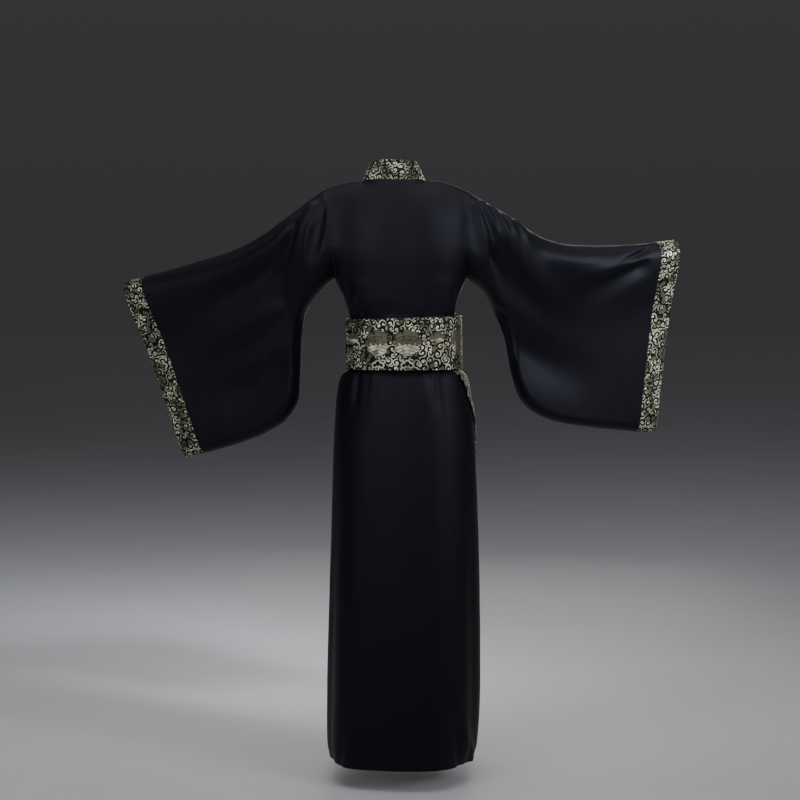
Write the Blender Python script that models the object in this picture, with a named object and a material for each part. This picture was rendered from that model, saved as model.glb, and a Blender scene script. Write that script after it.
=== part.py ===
"""A black satin hanfu robe with brocade collar bands, cuffs and a wide belt, worn open-armed.

Units are metres. +Z is up, the wearer faces -Y and the wearer's left hand is towards +X.
The origin is the middle of the neck opening, level with the tops of the shoulders.

The body is one closed surface, read by `body_point(side, angle, level)`:
  side   BACK or FRONT
  angle  degrees round that half, 0 at the wearer's left side and 180 at the right side;
         past 180 or below 0 it runs on round the side seam
  level  height below the neck; above the underarm it is the height at the neck, and the
         rows there sink towards the shoulder tips
Each sleeve is read by `sleeve_point(arm, along, side, down)`, from armhole to cuff and from
the seam along the top of the arm down to the lower seam. Every piece of cloth is a grid of
points on one of these surfaces, given a wall that grows outwards.
"""

import math
from collections import namedtuple

import bmesh
import bpy
from mathutils import Vector

BACK, FRONT = 1, -1
LEFT, RIGHT = 1, -1

# Walls and gaps
SATIN_WALL = 0.0015
BROCADE_WALL = 0.0020
BELT_WALL = 0.0030
SEAM_GAP = 0.0004
SAME_PLACE = 0.00005  # points of two sheets this close meet on a seam
OVERLAP_LIFT = 0.0050  # how far the left front stands off the right front that it covers

BAND_WIDTH = 0.055  # of the brocade band, across
BAND_JOIN = -0.412  # the level, under the belt, at which the band is pieced

# Levels
UNDERARM = -0.242
BELT_TOP = -0.342
BELT_BOTTOM = -0.469
HEM = -1.450

# Neck and shoulders
NECK_HALF_WIDTH = 0.077
NECK_BACK_DEPTH = 0.070
NECK_FRONT_DEPTH = 0.045
NECK_DROP = 0.004
NECK_SPREAD = 0.140  # the neck's shape dies away this far from the middle
NECK_SETTLE = 0.08  # share of the height from neck to underarm over which it does so
BELOW_NECK = 0.0003  # the body's surface is measured no closer to the neck's edge than this
SHOULDER_FALL = 2.5  # times the square of the distance past the neck
COLLAR_TOP_HALF_WIDTH = 0.056
COLLAR_TOP_DEPTH = 0.050
COLLAR_TOP_FORWARD = 0.003
COLLAR_SIDE_HEIGHT = 0.042
COLLAR_BACK_RISE = 0.003  # how much higher the collar is at the back
LYING_START = -0.012  # below this level the standing collar starts to lie down on the fronts
LYING_OVER = 0.075
ARMHOLE_HALF_DEPTH = 0.080
ARMHOLE_ROUNDING = 0.35  # share of the armhole's height in which its lower end opens
ARMHOLE_SPREAD = 1.6  # the higher, the closer to the seam the armhole's depth stays
ARMHOLE_ROUND_SPREAD = 10.0  # the same for the sharp turn of its lower end
FLAT_LEVELS = (-0.300, -0.150)  # between these the body's sides flatten into the armholes

# The body's sections, from the hem to the neck. `square` is the power of the section's curve:
# 2 is an ellipse, and more is fuller towards the corners.
Section = namedtuple("Section", "level centre half_width back front square")
SECTIONS = (
    Section(HEM, -0.019, 0.1810, 0.158, 0.166, 2.4),
    Section(-1.410, -0.021, 0.1890, 0.160, 0.168, 2.4),
    Section(-1.300, -0.024, 0.1920, 0.160, 0.168, 2.4),
    Section(-1.080, -0.026, 0.1890, 0.154, 0.162, 2.4),
    Section(-0.840, -0.027, 0.1820, 0.145, 0.152, 2.3),
    Section(-0.695, -0.026, 0.1775, 0.138, 0.144, 2.3),
    Section(-0.594, -0.025, 0.1715, 0.131, 0.136, 2.2),
    Section(-0.534, -0.022, 0.1635, 0.124, 0.130, 2.2),
    Section(-0.496, -0.022, 0.1560, 0.116, 0.121, 2.2),
    Section(-0.483, -0.022, 0.1490, 0.109, 0.115, 2.2),
    Section(-0.470, -0.0240, 0.1325, 0.0980, 0.1055, 2.2),
    Section(-0.400, -0.0245, 0.1325, 0.0970, 0.1040, 2.2),
    Section(-0.342, -0.021, 0.1300, 0.0985, 0.1050, 2.2),
    Section(-0.300, -0.017, 0.1390, 0.1050, 0.1100, 2.4),
    Section(UNDERARM, -0.016, 0.1640, 0.1110, 0.1150, 2.8),
    Section(-0.120, -0.010, 0.1720, 0.1150, 0.1160, 2.8),
    Section(0.0, -0.005, 0.1800, 0.1050, 0.1100, 2.8),
)

# The soft folds that run down the skirt: depth is at the hem, and below 0 is a trough
SkirtFold = namedtuple("SkirtFold", "side angle_top angle_hem width depth")
SKIRT_FOLDS = (
    SkirtFold(BACK, 24, 20, 9, -0.006),
    SkirtFold(BACK, 47, 44, 11, 0.006),
    SkirtFold(BACK, 78, 74, 10, -0.004),
    SkirtFold(BACK, 112, 118, 12, 0.005),
    SkirtFold(BACK, 146, 151, 9, -0.007),
    SkirtFold(FRONT, 28, 24, 10, -0.008),
    SkirtFold(FRONT, 62, 58, 12, 0.007),
    SkirtFold(FRONT, 98, 95, 10, -0.007),
    SkirtFold(FRONT, 128, 130, 10, 0.006),
)
SKIRT_FOLD_START = -0.56
SKIRT_FOLD_FULL = 0.77  # share of the way down from there at which a fold has its whole depth

# The edges of the two fronts, down to the belt, as the distance towards the wearer's left
Neckline = namedtuple("Neckline", "level left_front right_front")
NECKLINES = (
    Neckline(BELT_TOP, -0.112, 0.052),
    Neckline(-0.300, -0.082, 0.045),
    Neckline(UNDERARM, -0.041, 0.028),
    Neckline(-0.180, 0.003, -0.001),
    Neckline(-0.120, 0.040, -0.037),
    Neckline(-0.050, 0.071, -0.071),
    Neckline(0.0, NECK_HALF_WIDTH, -NECK_HALF_WIDTH),
)

# The same edges from the belt down, as the angle reached from the panel's own side seam
Edge = namedtuple("Edge", "level left_front right_front")
FRONT_EDGES = (
    Edge(HEM, 138, 128),
    Edge(-1.000, 141, 127),
    Edge(-0.700, 147, 126),
    Edge(-0.620, 155, 125),
    Edge(-0.580, 163, 125),
    Edge(-0.530, 174, 124),
    Edge(-0.475, 181, 123),
    Edge(-0.410, 161, 122),
    Edge(BELT_TOP, 138, 122),
)
LIFT_START, LIFT_END = 4, 26  # angles between which the left front rises off the body
LIFT_LEVELS = (-0.006, -0.055)  # levels between which it rises, below the neck

# The arms reach forward: how far a point of a sleeve lies in front of the shoulders
ARM_START = 0.18
ARM_FORWARD = 0.66
ARM_STRAIGHTEN = 0.27
ARM_EASE = 0.03

# The sleeves' upper and lower edges, seen from behind, as distances out from the neck
Rib = namedtuple("Rib", "along top_out top_level bottom_out bottom_level")
LEFT_RIBS = (
    Rib(0.0, 0.175, -0.028, 0.150, -0.242),
    Rib(0.1, 0.220, -0.060, 0.199, -0.289),
    Rib(0.2, 0.262, -0.092, 0.233, -0.344),
    Rib(0.3, 0.305, -0.124, 0.243, -0.410),
    Rib(0.4, 0.350, -0.150, 0.245, -0.477),
    Rib(0.5, 0.397, -0.170, 0.248, -0.544),
    Rib(0.6, 0.446, -0.186, 0.276, -0.600),
    Rib(0.7, 0.496, -0.200, 0.325, -0.635),
    Rib(0.8, 0.547, -0.213, 0.379, -0.660),
    Rib(0.9, 0.599, -0.226, 0.435, -0.680),
    Rib(1.0, 0.651, -0.239, 0.489, -0.696),
    Rib(1.1, 0.701, -0.251, 0.538, -0.711),
)
RIGHT_RIBS = (
    Rib(0.0, 0.185, -0.033, 0.182, -0.242),
    Rib(0.1, 0.236, -0.061, 0.229, -0.280),
    Rib(0.2, 0.283, -0.089, 0.264, -0.343),
    Rib(0.3, 0.326, -0.118, 0.291, -0.411),
    Rib(0.4, 0.371, -0.142, 0.304, -0.483),
    Rib(0.5, 0.421, -0.155, 0.327, -0.553),
    Rib(0.6, 0.474, -0.160, 0.377, -0.597),
    Rib(0.7, 0.527, -0.161, 0.440, -0.617),
    Rib(0.8, 0.581, -0.159, 0.505, -0.630),
    Rib(0.9, 0.634, -0.155, 0.570, -0.638),
    Rib(1.0, 0.686, -0.150, 0.634, -0.646),
    Rib(1.1, 0.738, -0.145, 0.682, -0.651),
)
RIBS = {LEFT: LEFT_RIBS, RIGHT: RIGHT_RIBS}
CUFF_END = 1.1

# How thick the sleeve is, front to back
ARM_RADIUS_SHOULDER = 0.062
ARM_RADIUS_WRIST = 0.044
HANGING_HALF_GAP = 0.023
ARM_FADE = 0.10  # below the arm the sleeve narrows over this distance
LOWER_FOLD_RADIUS = 0.022
ARMHOLE_BLEND = 0.28  # share of the sleeve over which the armhole's oval fades out

# Folds that fall from the shoulder down the sleeve, on both layers. `low` and `high` are the
# shares of the way down between which one shows.
SleeveFold = namedtuple("SleeveFold", "along_top along_bottom width depth low high")
SLEEVE_FOLDS = (
    SleeveFold(0.075, 0.085, 0.024, -0.006, 0.04, 0.80),
    SleeveFold(0.130, 0.160, 0.026, 0.006, 0.05, 0.88),
    SleeveFold(0.195, 0.250, 0.030, -0.007, 0.06, 0.92),
    SleeveFold(0.280, 0.370, 0.036, 0.006, 0.06, 0.95),
    SleeveFold(0.860, 0.420, 0.045, -0.008, 0.04, 0.75),
    SleeveFold(0.640, 0.700, 0.060, 0.006, 0.25, 1.00),
)
FOLD_FADE_IN, FOLD_FADE_OUT = 0.20, 0.35

# The belt: one strip that starts under its own end at the back
BELT_CENTRE = -0.0245
BELT_HALF_WIDTH = 0.1420
BELT_BACK = 0.1070
BELT_FRONT = 0.1160
BELT_SQUARE = 2.2
BELT_TOP_TILT = 0.004  # the top edge stands this much higher at the wearer's right, and less at the left
BELT_SPLAY = 0.0015  # how much wider the lower edge sits
BELT_LAP = 0.0036  # the outer end lies this far outside the inner one
BELT_INNER_START = 116  # degrees round the back, from the wearer's left
BELT_OUTER_END = 74
BELT_TURN = 360 + BELT_INNER_START - BELT_OUTER_END
BELT_LAP_REACH = 100  # degrees before its end at which the strip starts to step out
BELT_LAP_STEP = 62  # degrees that the step takes

# How finely the cloth is divided
UPPER_ROWS = 13
LOWER_LEVELS = (
    -0.262, -0.285, -0.310, -0.338, -0.355, -0.373, -0.392, BAND_JOIN, -0.432,
    -0.452, -0.470, -0.477, -0.485, -0.497, -0.520, -0.555, -0.610, -0.690, -0.790, -0.900, -1.010, -1.120, -1.230,
    -1.330, -1.405, HEM,
)
SHOULDER_COLUMNS = 7
NECK_COLUMNS = 5
LEFT_FRONT_COLUMNS = 19
RIGHT_FRONT_COLUMNS = 15
BAND_COLUMNS = 3
SLEEVE_STATIONS = (
    0.0, 0.025, 0.050, 0.078, 0.105, 0.135, 0.165, 0.200, 0.240, 0.290, 0.350,
    0.420, 0.490, 0.560, 0.640, 0.730, 0.820, 0.910, 1.0,
)
CUFF_STATIONS = (1.0, 1.05, CUFF_END)
BELT_COLUMNS = 46
BELT_ROWS = 4

MATERIALS = {
    # name: (colour, roughness, metallic)
    "black_satin": ((0.012, 0.012, 0.017, 1.0), 0.42, 0.0),
    "gold_brocade": ((0.130, 0.128, 0.085, 1.0), 0.40, 0.35),
}


def smoothstep(value):
    value = min(max(value, 0.0), 1.0)
    return value * value * (3.0 - 2.0 * value)


def blend(start, end, share):
    return start + (end - start) * share


def read_table(table, column, at):
    """A column of a table at a place between its rows, on a curve that keeps within them."""
    rows = sorted(table, key=lambda row: row[0])
    places = [row[0] for row in rows]
    values = [getattr(row, column) for row in rows]
    at = min(max(at, places[0]), places[-1])
    i = max(k for k in range(len(places) - 1) if places[k] <= at)
    steps = [places[k + 1] - places[k] for k in range(len(places) - 1)]
    slopes = [(values[k + 1] - values[k]) / steps[k] for k in range(len(steps))]

    def tangent(k):
        if k in (0, len(places) - 1):
            return slopes[min(k, len(slopes) - 1)]
        before, after = slopes[k - 1], slopes[k]
        if before * after <= 0.0:
            return 0.0
        wide, narrow = 2 * steps[k] + steps[k - 1], steps[k] + 2 * steps[k - 1]
        return (wide + narrow) / (wide / before + narrow / after)

    t = (at - places[i]) / steps[i]
    square, cube = t * t, t * t * t
    return (
        values[i] * (2 * cube - 3 * square + 1)
        + tangent(i) * steps[i] * (cube - 2 * square + t)
        + values[i + 1] * (3 * square - 2 * cube)
        + tangent(i + 1) * steps[i] * (cube - square)
    )


# ---------------------------------------------------------------- the body's surface


def shoulder_height(x):
    past_neck = max(0.0, abs(x) - NECK_HALF_WIDTH)
    return -NECK_DROP - SHOULDER_FALL * past_neck**2


def neck_depth(side, x, raised):
    """How far behind or in front of the shoulder seam the cloth is, as the neck has shaped it."""
    edge = math.sqrt(max(0.0, 1.0 - (x / NECK_HALF_WIDTH) ** 2))
    settled = (1.0 + math.cos(math.pi * min(abs(x) / NECK_SPREAD, 1.0))) / 2
    depth = NECK_BACK_DEPTH if side == BACK else NECK_FRONT_DEPTH
    return depth * blend(edge, settled, smoothstep((1.0 - raised) / NECK_SETTLE))


def armhole_depth(opened, across):
    """How much the armholes hold the cloth apart, from the middle, 0, to their seams, 1."""
    rounded, eased = 1.0 - (1.0 - opened) ** 2, smoothstep(opened)
    share = eased * abs(across) ** ARMHOLE_SPREAD
    share += (rounded - eased) * abs(across) ** ARMHOLE_ROUND_SPREAD
    return ARMHOLE_HALF_DEPTH * math.sqrt(share)


def skirt_fold(side, angle, level):
    """How far the folds push the skirt out or in."""
    fallen = (SKIRT_FOLD_START - level) / (SKIRT_FOLD_START - HEM)
    if fallen <= 0.0:
        return 0.0
    total = 0.0
    for fold in SKIRT_FOLDS:
        if fold.side == side:
            middle = blend(fold.angle_top, fold.angle_hem, fallen)
            total += fold.depth * math.exp(-(((angle - middle) / fold.width) ** 2))
    return total * smoothstep(fallen / SKIRT_FOLD_FULL)


def body_point(side, angle, level):
    if angle > 180.0:
        side, angle = -side, 360.0 - angle
    if angle < 0.0:
        side, angle = -side, -angle
    cosine, sine = math.cos(math.radians(angle)), math.sin(math.radians(angle))
    square = read_table(SECTIONS, "square", level)
    across = cosine * (abs(cosine) ** square + abs(sine) ** square) ** (-1 / square)
    round_up_to, flat_from = FLAT_LEVELS
    flatness = smoothstep((level - round_up_to) / (flat_from - round_up_to))
    across = blend(across, 1.0 - angle / 90.0, flatness)
    spare = max(0.0, 1.0 - abs(across) ** square) ** (1 / blend(square, 1.0, flatness))
    half_width = read_table(SECTIONS, "half_width", level)
    depth = read_table(SECTIONS, "back" if side == BACK else "front", level)
    x = read_table(SECTIONS, "centre", level) + half_width * across
    raised = max(0.0, 1.0 - level / UNDERARM)
    if raised == 0.0:
        y, z = side * depth * spare, level
    else:
        opened = min(raised / ARMHOLE_ROUNDING, 1.0)
        low = math.hypot(depth * spare, armhole_depth(opened, across))
        high = neck_depth(side, x, raised)
        y = side * math.sqrt(high**2 * raised**3 + low**2 * (1.0 - raised**3))
        z = UNDERARM + (shoulder_height(x) - UNDERARM) * raised
    outward = Vector((cosine / half_width, side * sine / depth, 0.0)).normalized()
    return Vector((x, y, z)) + outward * skirt_fold(side, angle, level)


def body_slopes(side, angle, level):
    """How the body's surface moves with each degree and each metre of level."""
    turn, drop = 0.5, 0.002
    if level > UNDERARM:
        low, high = max(angle - turn, 0.0), min(angle + turn, 180.0)
    else:
        low, high = angle - turn, angle + turn
    round_it = (body_point(side, high, level) - body_point(side, low, level)) / (high - low)
    top = min(level + drop, -BELOW_NECK)
    bottom = top - 2 * drop
    rise = (body_point(side, angle, top) - body_point(side, angle, bottom)) / (top - bottom)
    return round_it, rise


def body_outward(side, angle, level):
    round_it, rise = body_slopes(side, angle, level)
    outward = round_it.cross(rise) * side
    return outward.normalized()


# ---------------------------------------------------------------- the sleeves' surfaces


def forward_of(out):
    """How far in front of the shoulders a sleeve is, and how fast that grows, at a distance out."""
    past = max(0.0, out - ARM_START)
    eased = math.sqrt(past**2 + ARM_EASE**2)
    forward = ARM_FORWARD * (eased - ARM_EASE) - ARM_STRAIGHTEN * past**2
    slope = ARM_FORWARD * past / eased - 2 * ARM_STRAIGHTEN * past
    return forward, slope


def hanging_half_depth(along, from_top, from_bottom):
    """Half the distance between the sleeve's front and back layers."""
    radius = blend(ARM_RADIUS_SHOULDER, ARM_RADIUS_WRIST, min(along, 1.0))
    if from_top < radius:
        half = math.sqrt(radius**2 - (radius - from_top) ** 2)
    else:
        fade = math.exp(-(((from_top - radius) / ARM_FADE) ** 2))
        half = blend(HANGING_HALF_GAP, radius, fade)
    closing = 1.0 - min(from_bottom / LOWER_FOLD_RADIUS, 1.0)
    return half * math.sqrt(1.0 - closing**2)


def sleeve_fold(along, down):
    total = 0.0
    for fold in SLEEVE_FOLDS:
        middle = blend(fold.along_top, fold.along_bottom, down)
        share = smoothstep((down - fold.low) / FOLD_FADE_IN)
        share *= smoothstep((fold.high - down) / FOLD_FADE_OUT)
        total += fold.depth * share * math.exp(-(((along - middle) / fold.width) ** 2))
    return total


def rib_point(arm, along, side, down):
    ribs = RIBS[arm]
    top = Vector((read_table(ribs, "top_out", along), read_table(ribs, "top_level", along)))
    bottom = Vector((read_table(ribs, "bottom_out", along), read_table(ribs, "bottom_level", along)))
    out, level = top.lerp(bottom, down)
    drop = (bottom - top).length
    oval = ARMHOLE_HALF_DEPTH * math.sqrt(max(0.0, 1.0 - (2 * down - 1) ** 2))
    hanging = hanging_half_depth(along, drop * down, drop * (1 - down))
    half = blend(oval, hanging, smoothstep(along / ARMHOLE_BLEND))
    half += sleeve_fold(along, down) * min(1.0, half / HANGING_HALF_GAP)
    forward, slope = forward_of(out)
    turned = slope * smoothstep(along / ARMHOLE_BLEND)
    backward = Vector((arm * turned, 1.0, 0.0)).normalized()
    return Vector((arm * out, -forward, level)) + backward * half * side


def armhole_point(arm, side, down):
    angle = 0.0 if arm == LEFT else 180.0
    return body_point(side, angle, UNDERARM * down)


def sleeve_point(arm, along, side, down):
    """The sleeve starts exactly at the armhole and eases onto its own ribs."""
    start = armhole_point(arm, side, down) - rib_point(arm, 0.0, side, down)
    return rib_point(arm, along, side, down) + start * (1.0 - smoothstep(along / ARMHOLE_BLEND))


# ---------------------------------------------------------------- sheets and walls


class Sheet:
    """A grid of points with a wall outwards.

    `closed` joins the last column to the first. `inward` is for a grid whose rows and columns
    turn the other way, so that its wall too grows away from the wearer.
    """

    def __init__(self, name, material, wall, points, closed=False, inward=False):
        self.name = name
        self.material = material
        self.wall = wall
        self.points = points
        self.closed = closed
        self.inward = inward
        self.directions = self.find_directions()

    def neighbours(self, i, j):
        """The grid places next to this one, along and across the rows."""
        rows, columns = len(self.points), len(self.points[0])
        if self.closed:
            across = ((i, (j - 1) % columns), (i, (j + 1) % columns))
        else:
            across = ((i, max(j - 1, 0)), (i, min(j + 1, columns - 1)))
        return ((max(i - 1, 0), j), (min(i + 1, rows - 1), j)), across

    def find_directions(self):
        directions = []
        for i, row in enumerate(self.points):
            directions.append([])
            for j in range(len(row)):
                (a, b), (c, d) = self.neighbours(i, j)
                along = self.points[b[0]][b[1]] - self.points[a[0]][a[1]]
                across = self.points[d[0]][d[1]] - self.points[c[0]][c[1]]
                outward = along.cross(across).normalized()
                directions[i].append(-outward if self.inward else outward)
        return directions

    def rim(self):
        """The grid places on an open edge."""
        rows, columns = len(self.points), len(self.points[0])
        for i in range(rows):
            for j in range(columns):
                if i in (0, rows - 1) or not self.closed and j in (0, columns - 1):
                    yield i, j

    def away_from(self, seam, i, j):
        """The way off a seam, within the cloth and square to the seam."""
        (a, b), (c, d) = self.neighbours(i, j)
        along = self.points[b[0]][b[1]] - self.points[a[0]][a[1]]
        across = self.points[d[0]][d[1]] - self.points[c[0]][c[1]]
        run = along if seam == "column" else across
        way = self.directions[i][j].cross(run).normalized()
        into = across if seam == "column" else along
        if i == len(self.points) - 1 and seam == "row" or j > 0 and seam == "column":
            into = -into
        return way if way.dot(into) > 0.0 else -way

    def open_the_seams(self):
        """Draws each open edge back by half of a seam's gap."""
        rows, columns = len(self.points), len(self.points[0])
        moves = {}
        for i, j in self.rim():
            move = Vector()
            if i in (0, rows - 1):
                move += self.away_from("row", i, j)
            if not self.closed and j in (0, columns - 1):
                move += self.away_from("column", i, j)
            moves[i, j] = move * SEAM_GAP / 2
        for (i, j), move in moves.items():
            self.points[i][j] = self.points[i][j] + move

    def build(self):
        rows, columns = len(self.points), len(self.points[0])
        mesh = bmesh.new()
        inner = [[mesh.verts.new(p) for p in row] for row in self.points]
        outer = [
            [mesh.verts.new(p + d * self.wall) for p, d in zip(*pair)]
            for pair in zip(self.points, self.directions)
        ]
        spans = columns if self.closed else columns - 1
        for i in range(rows - 1):
            for j in range(spans):
                k = (j + 1) % columns
                for layer in (inner, outer):
                    a, b, c, d = layer[i][j], layer[i][k], layer[i + 1][k], layer[i + 1][j]
                    mesh.faces.new((a, b, c))
                    mesh.faces.new((a, c, d))
        edges = [((0, j), (0, (j + 1) % columns)) for j in range(spans)]
        edges += [((rows - 1, j), (rows - 1, (j + 1) % columns)) for j in range(spans)]
        if not self.closed:
            edges += [((i, 0), (i + 1, 0)) for i in range(rows - 1)]
            edges += [((i, columns - 1), (i + 1, columns - 1)) for i in range(rows - 1)]
        for (i, j), (k, m) in edges:
            mesh.faces.new((inner[i][j], inner[k][m], outer[k][m]))
            mesh.faces.new((inner[i][j], outer[k][m], outer[i][j]))
        bmesh.ops.recalc_face_normals(mesh, faces=mesh.faces)
        data = bpy.data.meshes.new(self.name)
        mesh.to_mesh(data)
        mesh.free()
        data.shade_smooth()
        data.set_sharp_from_angle(angle=math.radians(50))
        data.materials.append(bpy.data.materials[self.material])
        obj = bpy.data.objects.new(self.name, data)
        bpy.context.scene.collection.objects.link(obj)
        return obj


def square_shoulder_seam(sheet):
    """On the shoulder seam the wall stands square to the seam, so that back and front meet flat."""
    for j, point in enumerate(sheet.points[0]):
        if abs(point.x) >= NECK_HALF_WIDTH:
            past_neck = abs(point.x) - NECK_HALF_WIDTH
            fall = 2 * SHOULDER_FALL * past_neck * math.copysign(1.0, point.x)
            sheet.directions[0][j] = Vector((fall, 0.0, 1.0)).normalized()


def share_seam_directions(sheets):
    """Where sheets meet, their walls grow in one direction, so that they stay side by side."""
    meeting = {}
    for sheet in sheets:
        for i, j in sheet.rim():
            place = tuple(round(c / SAME_PLACE) for c in sheet.points[i][j])
            meeting.setdefault(place, []).append((sheet, i, j))
    for found in meeting.values():
        if len({sheet.name for sheet, _, _ in found}) < 2:
            continue
        shared = sum((sheet.directions[i][j] for sheet, i, j in found), Vector())
        for sheet, i, j in found:
            sheet.directions[i][j] = shared.normalized()


# ---------------------------------------------------------------- the pieces


def upper_levels():
    """Levels from the neck down to the underarm, closer together at both ends."""
    turns = [math.pi * k / UPPER_ROWS for k in range(UPPER_ROWS + 1)]
    return [UNDERARM * (1.0 - math.cos(turn)) / 2 for turn in turns]


def body_levels():
    return [*upper_levels(), *LOWER_LEVELS]


def even(start, end, steps):
    return [blend(start, end, k / steps) for k in range(steps + 1)]


def angle_at(x, level):
    """The angle at which the body's surface reaches this far towards the wearer's left."""
    low, high = 0.0, 180.0
    for _ in range(40):
        middle = (low + high) / 2
        if body_point(FRONT, middle, level).x > x:
            low = middle
        else:
            high = middle
    return (low + high) / 2


def neck_angle(x):
    return angle_at(x, 0.0)


def back_angles():
    left, middle, right = (neck_angle(x) for x in (NECK_HALF_WIDTH, 0.0, -NECK_HALF_WIDTH))
    return (
        even(0.0, left, SHOULDER_COLUMNS)
        + even(left, middle, NECK_COLUMNS)[1:]
        + even(middle, right, NECK_COLUMNS)[1:]
        + even(right, 180.0, SHOULDER_COLUMNS)[1:]
    )


def make_back_panel():
    angles = back_angles()
    points = [[body_point(BACK, angle, level) for angle in angles] for level in body_levels()]
    return Sheet("back_panel", "black_satin", SATIN_WALL, points)


def edge_angle(arm, level):
    """Where a front panel ends, as an angle on the body."""
    column = "left_front" if arm == LEFT else "right_front"
    if level > BELT_TOP:
        return angle_at(read_table(NECKLINES, column, level), level)
    reached = read_table(FRONT_EDGES, column, level)
    return reached if arm == LEFT else 180.0 - reached


def lift(angle, level):
    high, low = LIFT_LEVELS
    side = smoothstep((angle - LIFT_START) / (LIFT_END - LIFT_START))
    return OVERLAP_LIFT * side * smoothstep((high - level) / (high - low))


def front_point(arm, angle, level):
    """A point of a front's cloth. The left front lies over the right one."""
    point = body_point(FRONT, angle, level)
    if arm == LEFT:
        outward = body_outward(FRONT, angle, level)
        outward.z *= smoothstep((level - BELT_TOP) / (UNDERARM - BELT_TOP))
        point += outward.normalized() * lift(angle, level)
    return point


def make_front(arm, name, columns):
    seam = 0.0 if arm == LEFT else 180.0
    points = []
    for level in body_levels():
        angles = even(seam, edge_angle(arm, level), columns)
        points.append([front_point(arm, angle, level) for angle in angles])
    return Sheet(name, "black_satin", SATIN_WALL, points, inward=arm == LEFT)


def collar_top(arm, round_neck):
    """The collar's free edge, from the middle of the back, 0, to the side of the neck, 1."""
    turn = math.radians(90 * round_neck)
    return Vector((
        arm * COLLAR_TOP_HALF_WIDTH * math.sin(turn),
        COLLAR_TOP_DEPTH * math.cos(turn) - COLLAR_TOP_FORWARD,
        COLLAR_SIDE_HEIGHT + COLLAR_BACK_RISE * math.cos(turn),
    ))


def band_row(start, end):
    return [start.lerp(end, share) for share in even(0.0, 1.0, BAND_COLUMNS)]


def neck_rows(arm):
    """The collar's rows round the back of the neck, from the side to the middle."""
    middle, side = neck_angle(0.0), neck_angle(arm * NECK_HALF_WIDTH)
    return [
        band_row(body_point(BACK, angle, 0.0), collar_top(arm, 1 - k / NECK_COLUMNS))
        for k, angle in enumerate(even(side, middle, NECK_COLUMNS))
    ]


def front_band_rows(arm):
    """The band's rows down a front, from its seam to its free edge, below the neck.

    Above the belt a row runs square to the seam, and below it a row keeps its level.
    """
    rows = []
    levels = body_levels()
    stand = collar_top(arm, 1.0) - body_point(BACK, neck_angle(arm * NECK_HALF_WIDTH), 0.0)
    for before, level, after in zip(levels, levels[1:], [*levels[2:], levels[-1]]):
        angle = edge_angle(arm, level)
        path = front_point(arm, edge_angle(arm, after), after)
        path -= front_point(arm, edge_angle(arm, before), before)
        round_it, rise = body_slopes(FRONT, angle, level)
        sideways = path.cross(body_outward(FRONT, angle, level)).normalized() * arm
        square_turn = sideways.dot(round_it) / round_it.length_squared
        level_turn = 1.0 / sideways.dot(round_it)
        tilted = smoothstep((level - BELT_BOTTOM) / (BELT_TOP - BELT_BOTTOM))
        turn = BAND_WIDTH * blend(level_turn, square_turn, tilted)
        climb = BAND_WIDTH * tilted * sideways.dot(rise) / rise.length_squared
        lying = smoothstep((LYING_START - level) / LYING_OVER)
        row = []
        for share in even(0.0, 1.0, BAND_COLUMNS):
            on_body = front_point(arm, angle + turn * share, min(level + climb * share, -BELOW_NECK))
            standing = front_point(arm, angle, level) + stand * share
            row.append(standing.lerp(on_body, lying))
        rows.append(row)
    return rows


def make_bands():
    """The collar band, down to the belt, and the strip that goes on from it down each front."""
    join = body_levels().index(BAND_JOIN)
    left, right = front_band_rows(LEFT), front_band_rows(RIGHT)
    neck = [*neck_rows(LEFT), *neck_rows(RIGHT)[-2::-1]]
    strips = {
        "collar_band": [*left[join - 1 :: -1], *neck, *right[:join]],
        "left_skirt_band": left[: join - 2 : -1],
        "right_skirt_band": right[join - 1 :],
    }
    return [Sheet(name, "gold_brocade", BROCADE_WALL, rows) for name, rows in strips.items()]


def sleeve_layer(arm, along, side):
    """The back or the front layer of a sleeve at one place along it, from the top down."""
    return [sleeve_point(arm, along, side, level / UNDERARM) for level in upper_levels()]


def make_sleeve(arm, side, name):
    points = [sleeve_layer(arm, along, side) for along in SLEEVE_STATIONS]
    return Sheet(name, "black_satin", SATIN_WALL, points, inward=arm * side < 0)


def make_cuff(arm, name):
    points = [
        sleeve_layer(arm, along, BACK) + sleeve_layer(arm, along, FRONT)[-2:0:-1]
        for along in CUFF_STATIONS
    ]
    return Sheet(name, "gold_brocade", BROCADE_WALL, points, closed=True, inward=arm == RIGHT)


def belt_point(turned, height):
    """A point of the belt. `turned` is degrees from its hidden end; height runs from 0 to 1."""
    angle = math.radians(BELT_INNER_START - turned)
    cosine, sine = math.cos(angle), math.sin(angle)
    reach = (abs(cosine) ** BELT_SQUARE + abs(sine) ** BELT_SQUARE) ** (-1 / BELT_SQUARE)
    lap = BELT_LAP * smoothstep((turned - BELT_TURN + BELT_LAP_REACH) / BELT_LAP_STEP)
    depth = BELT_BACK if sine > 0 else BELT_FRONT
    splay = BELT_SPLAY * (1 - height)
    return Vector((
        BELT_CENTRE + (BELT_HALF_WIDTH + splay + lap) * cosine * reach,
        (depth + splay + lap) * sine * reach,
        blend(BELT_BOTTOM, BELT_TOP - BELT_TOP_TILT * cosine, height),
    ))


def make_belt():
    points = [
        [belt_point(turned, height) for height in even(0.0, 1.0, BELT_ROWS)]
        for turned in even(0.0, BELT_TURN, BELT_COLUMNS)
    ]
    return Sheet("belt", "gold_brocade", BELT_WALL, points, inward=True)


def make_materials():
    for name, (colour, roughness, metallic) in MATERIALS.items():
        material = bpy.data.materials.new(name)
        material.use_nodes = True
        shader = material.node_tree.nodes["Principled BSDF"]
        shader.inputs["Base Color"].default_value = colour
        shader.inputs["Roughness"].default_value = roughness
        shader.inputs["Metallic"].default_value = metallic


def clear_scene():
    for obj in list(bpy.data.objects):
        bpy.data.objects.remove(obj)


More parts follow.
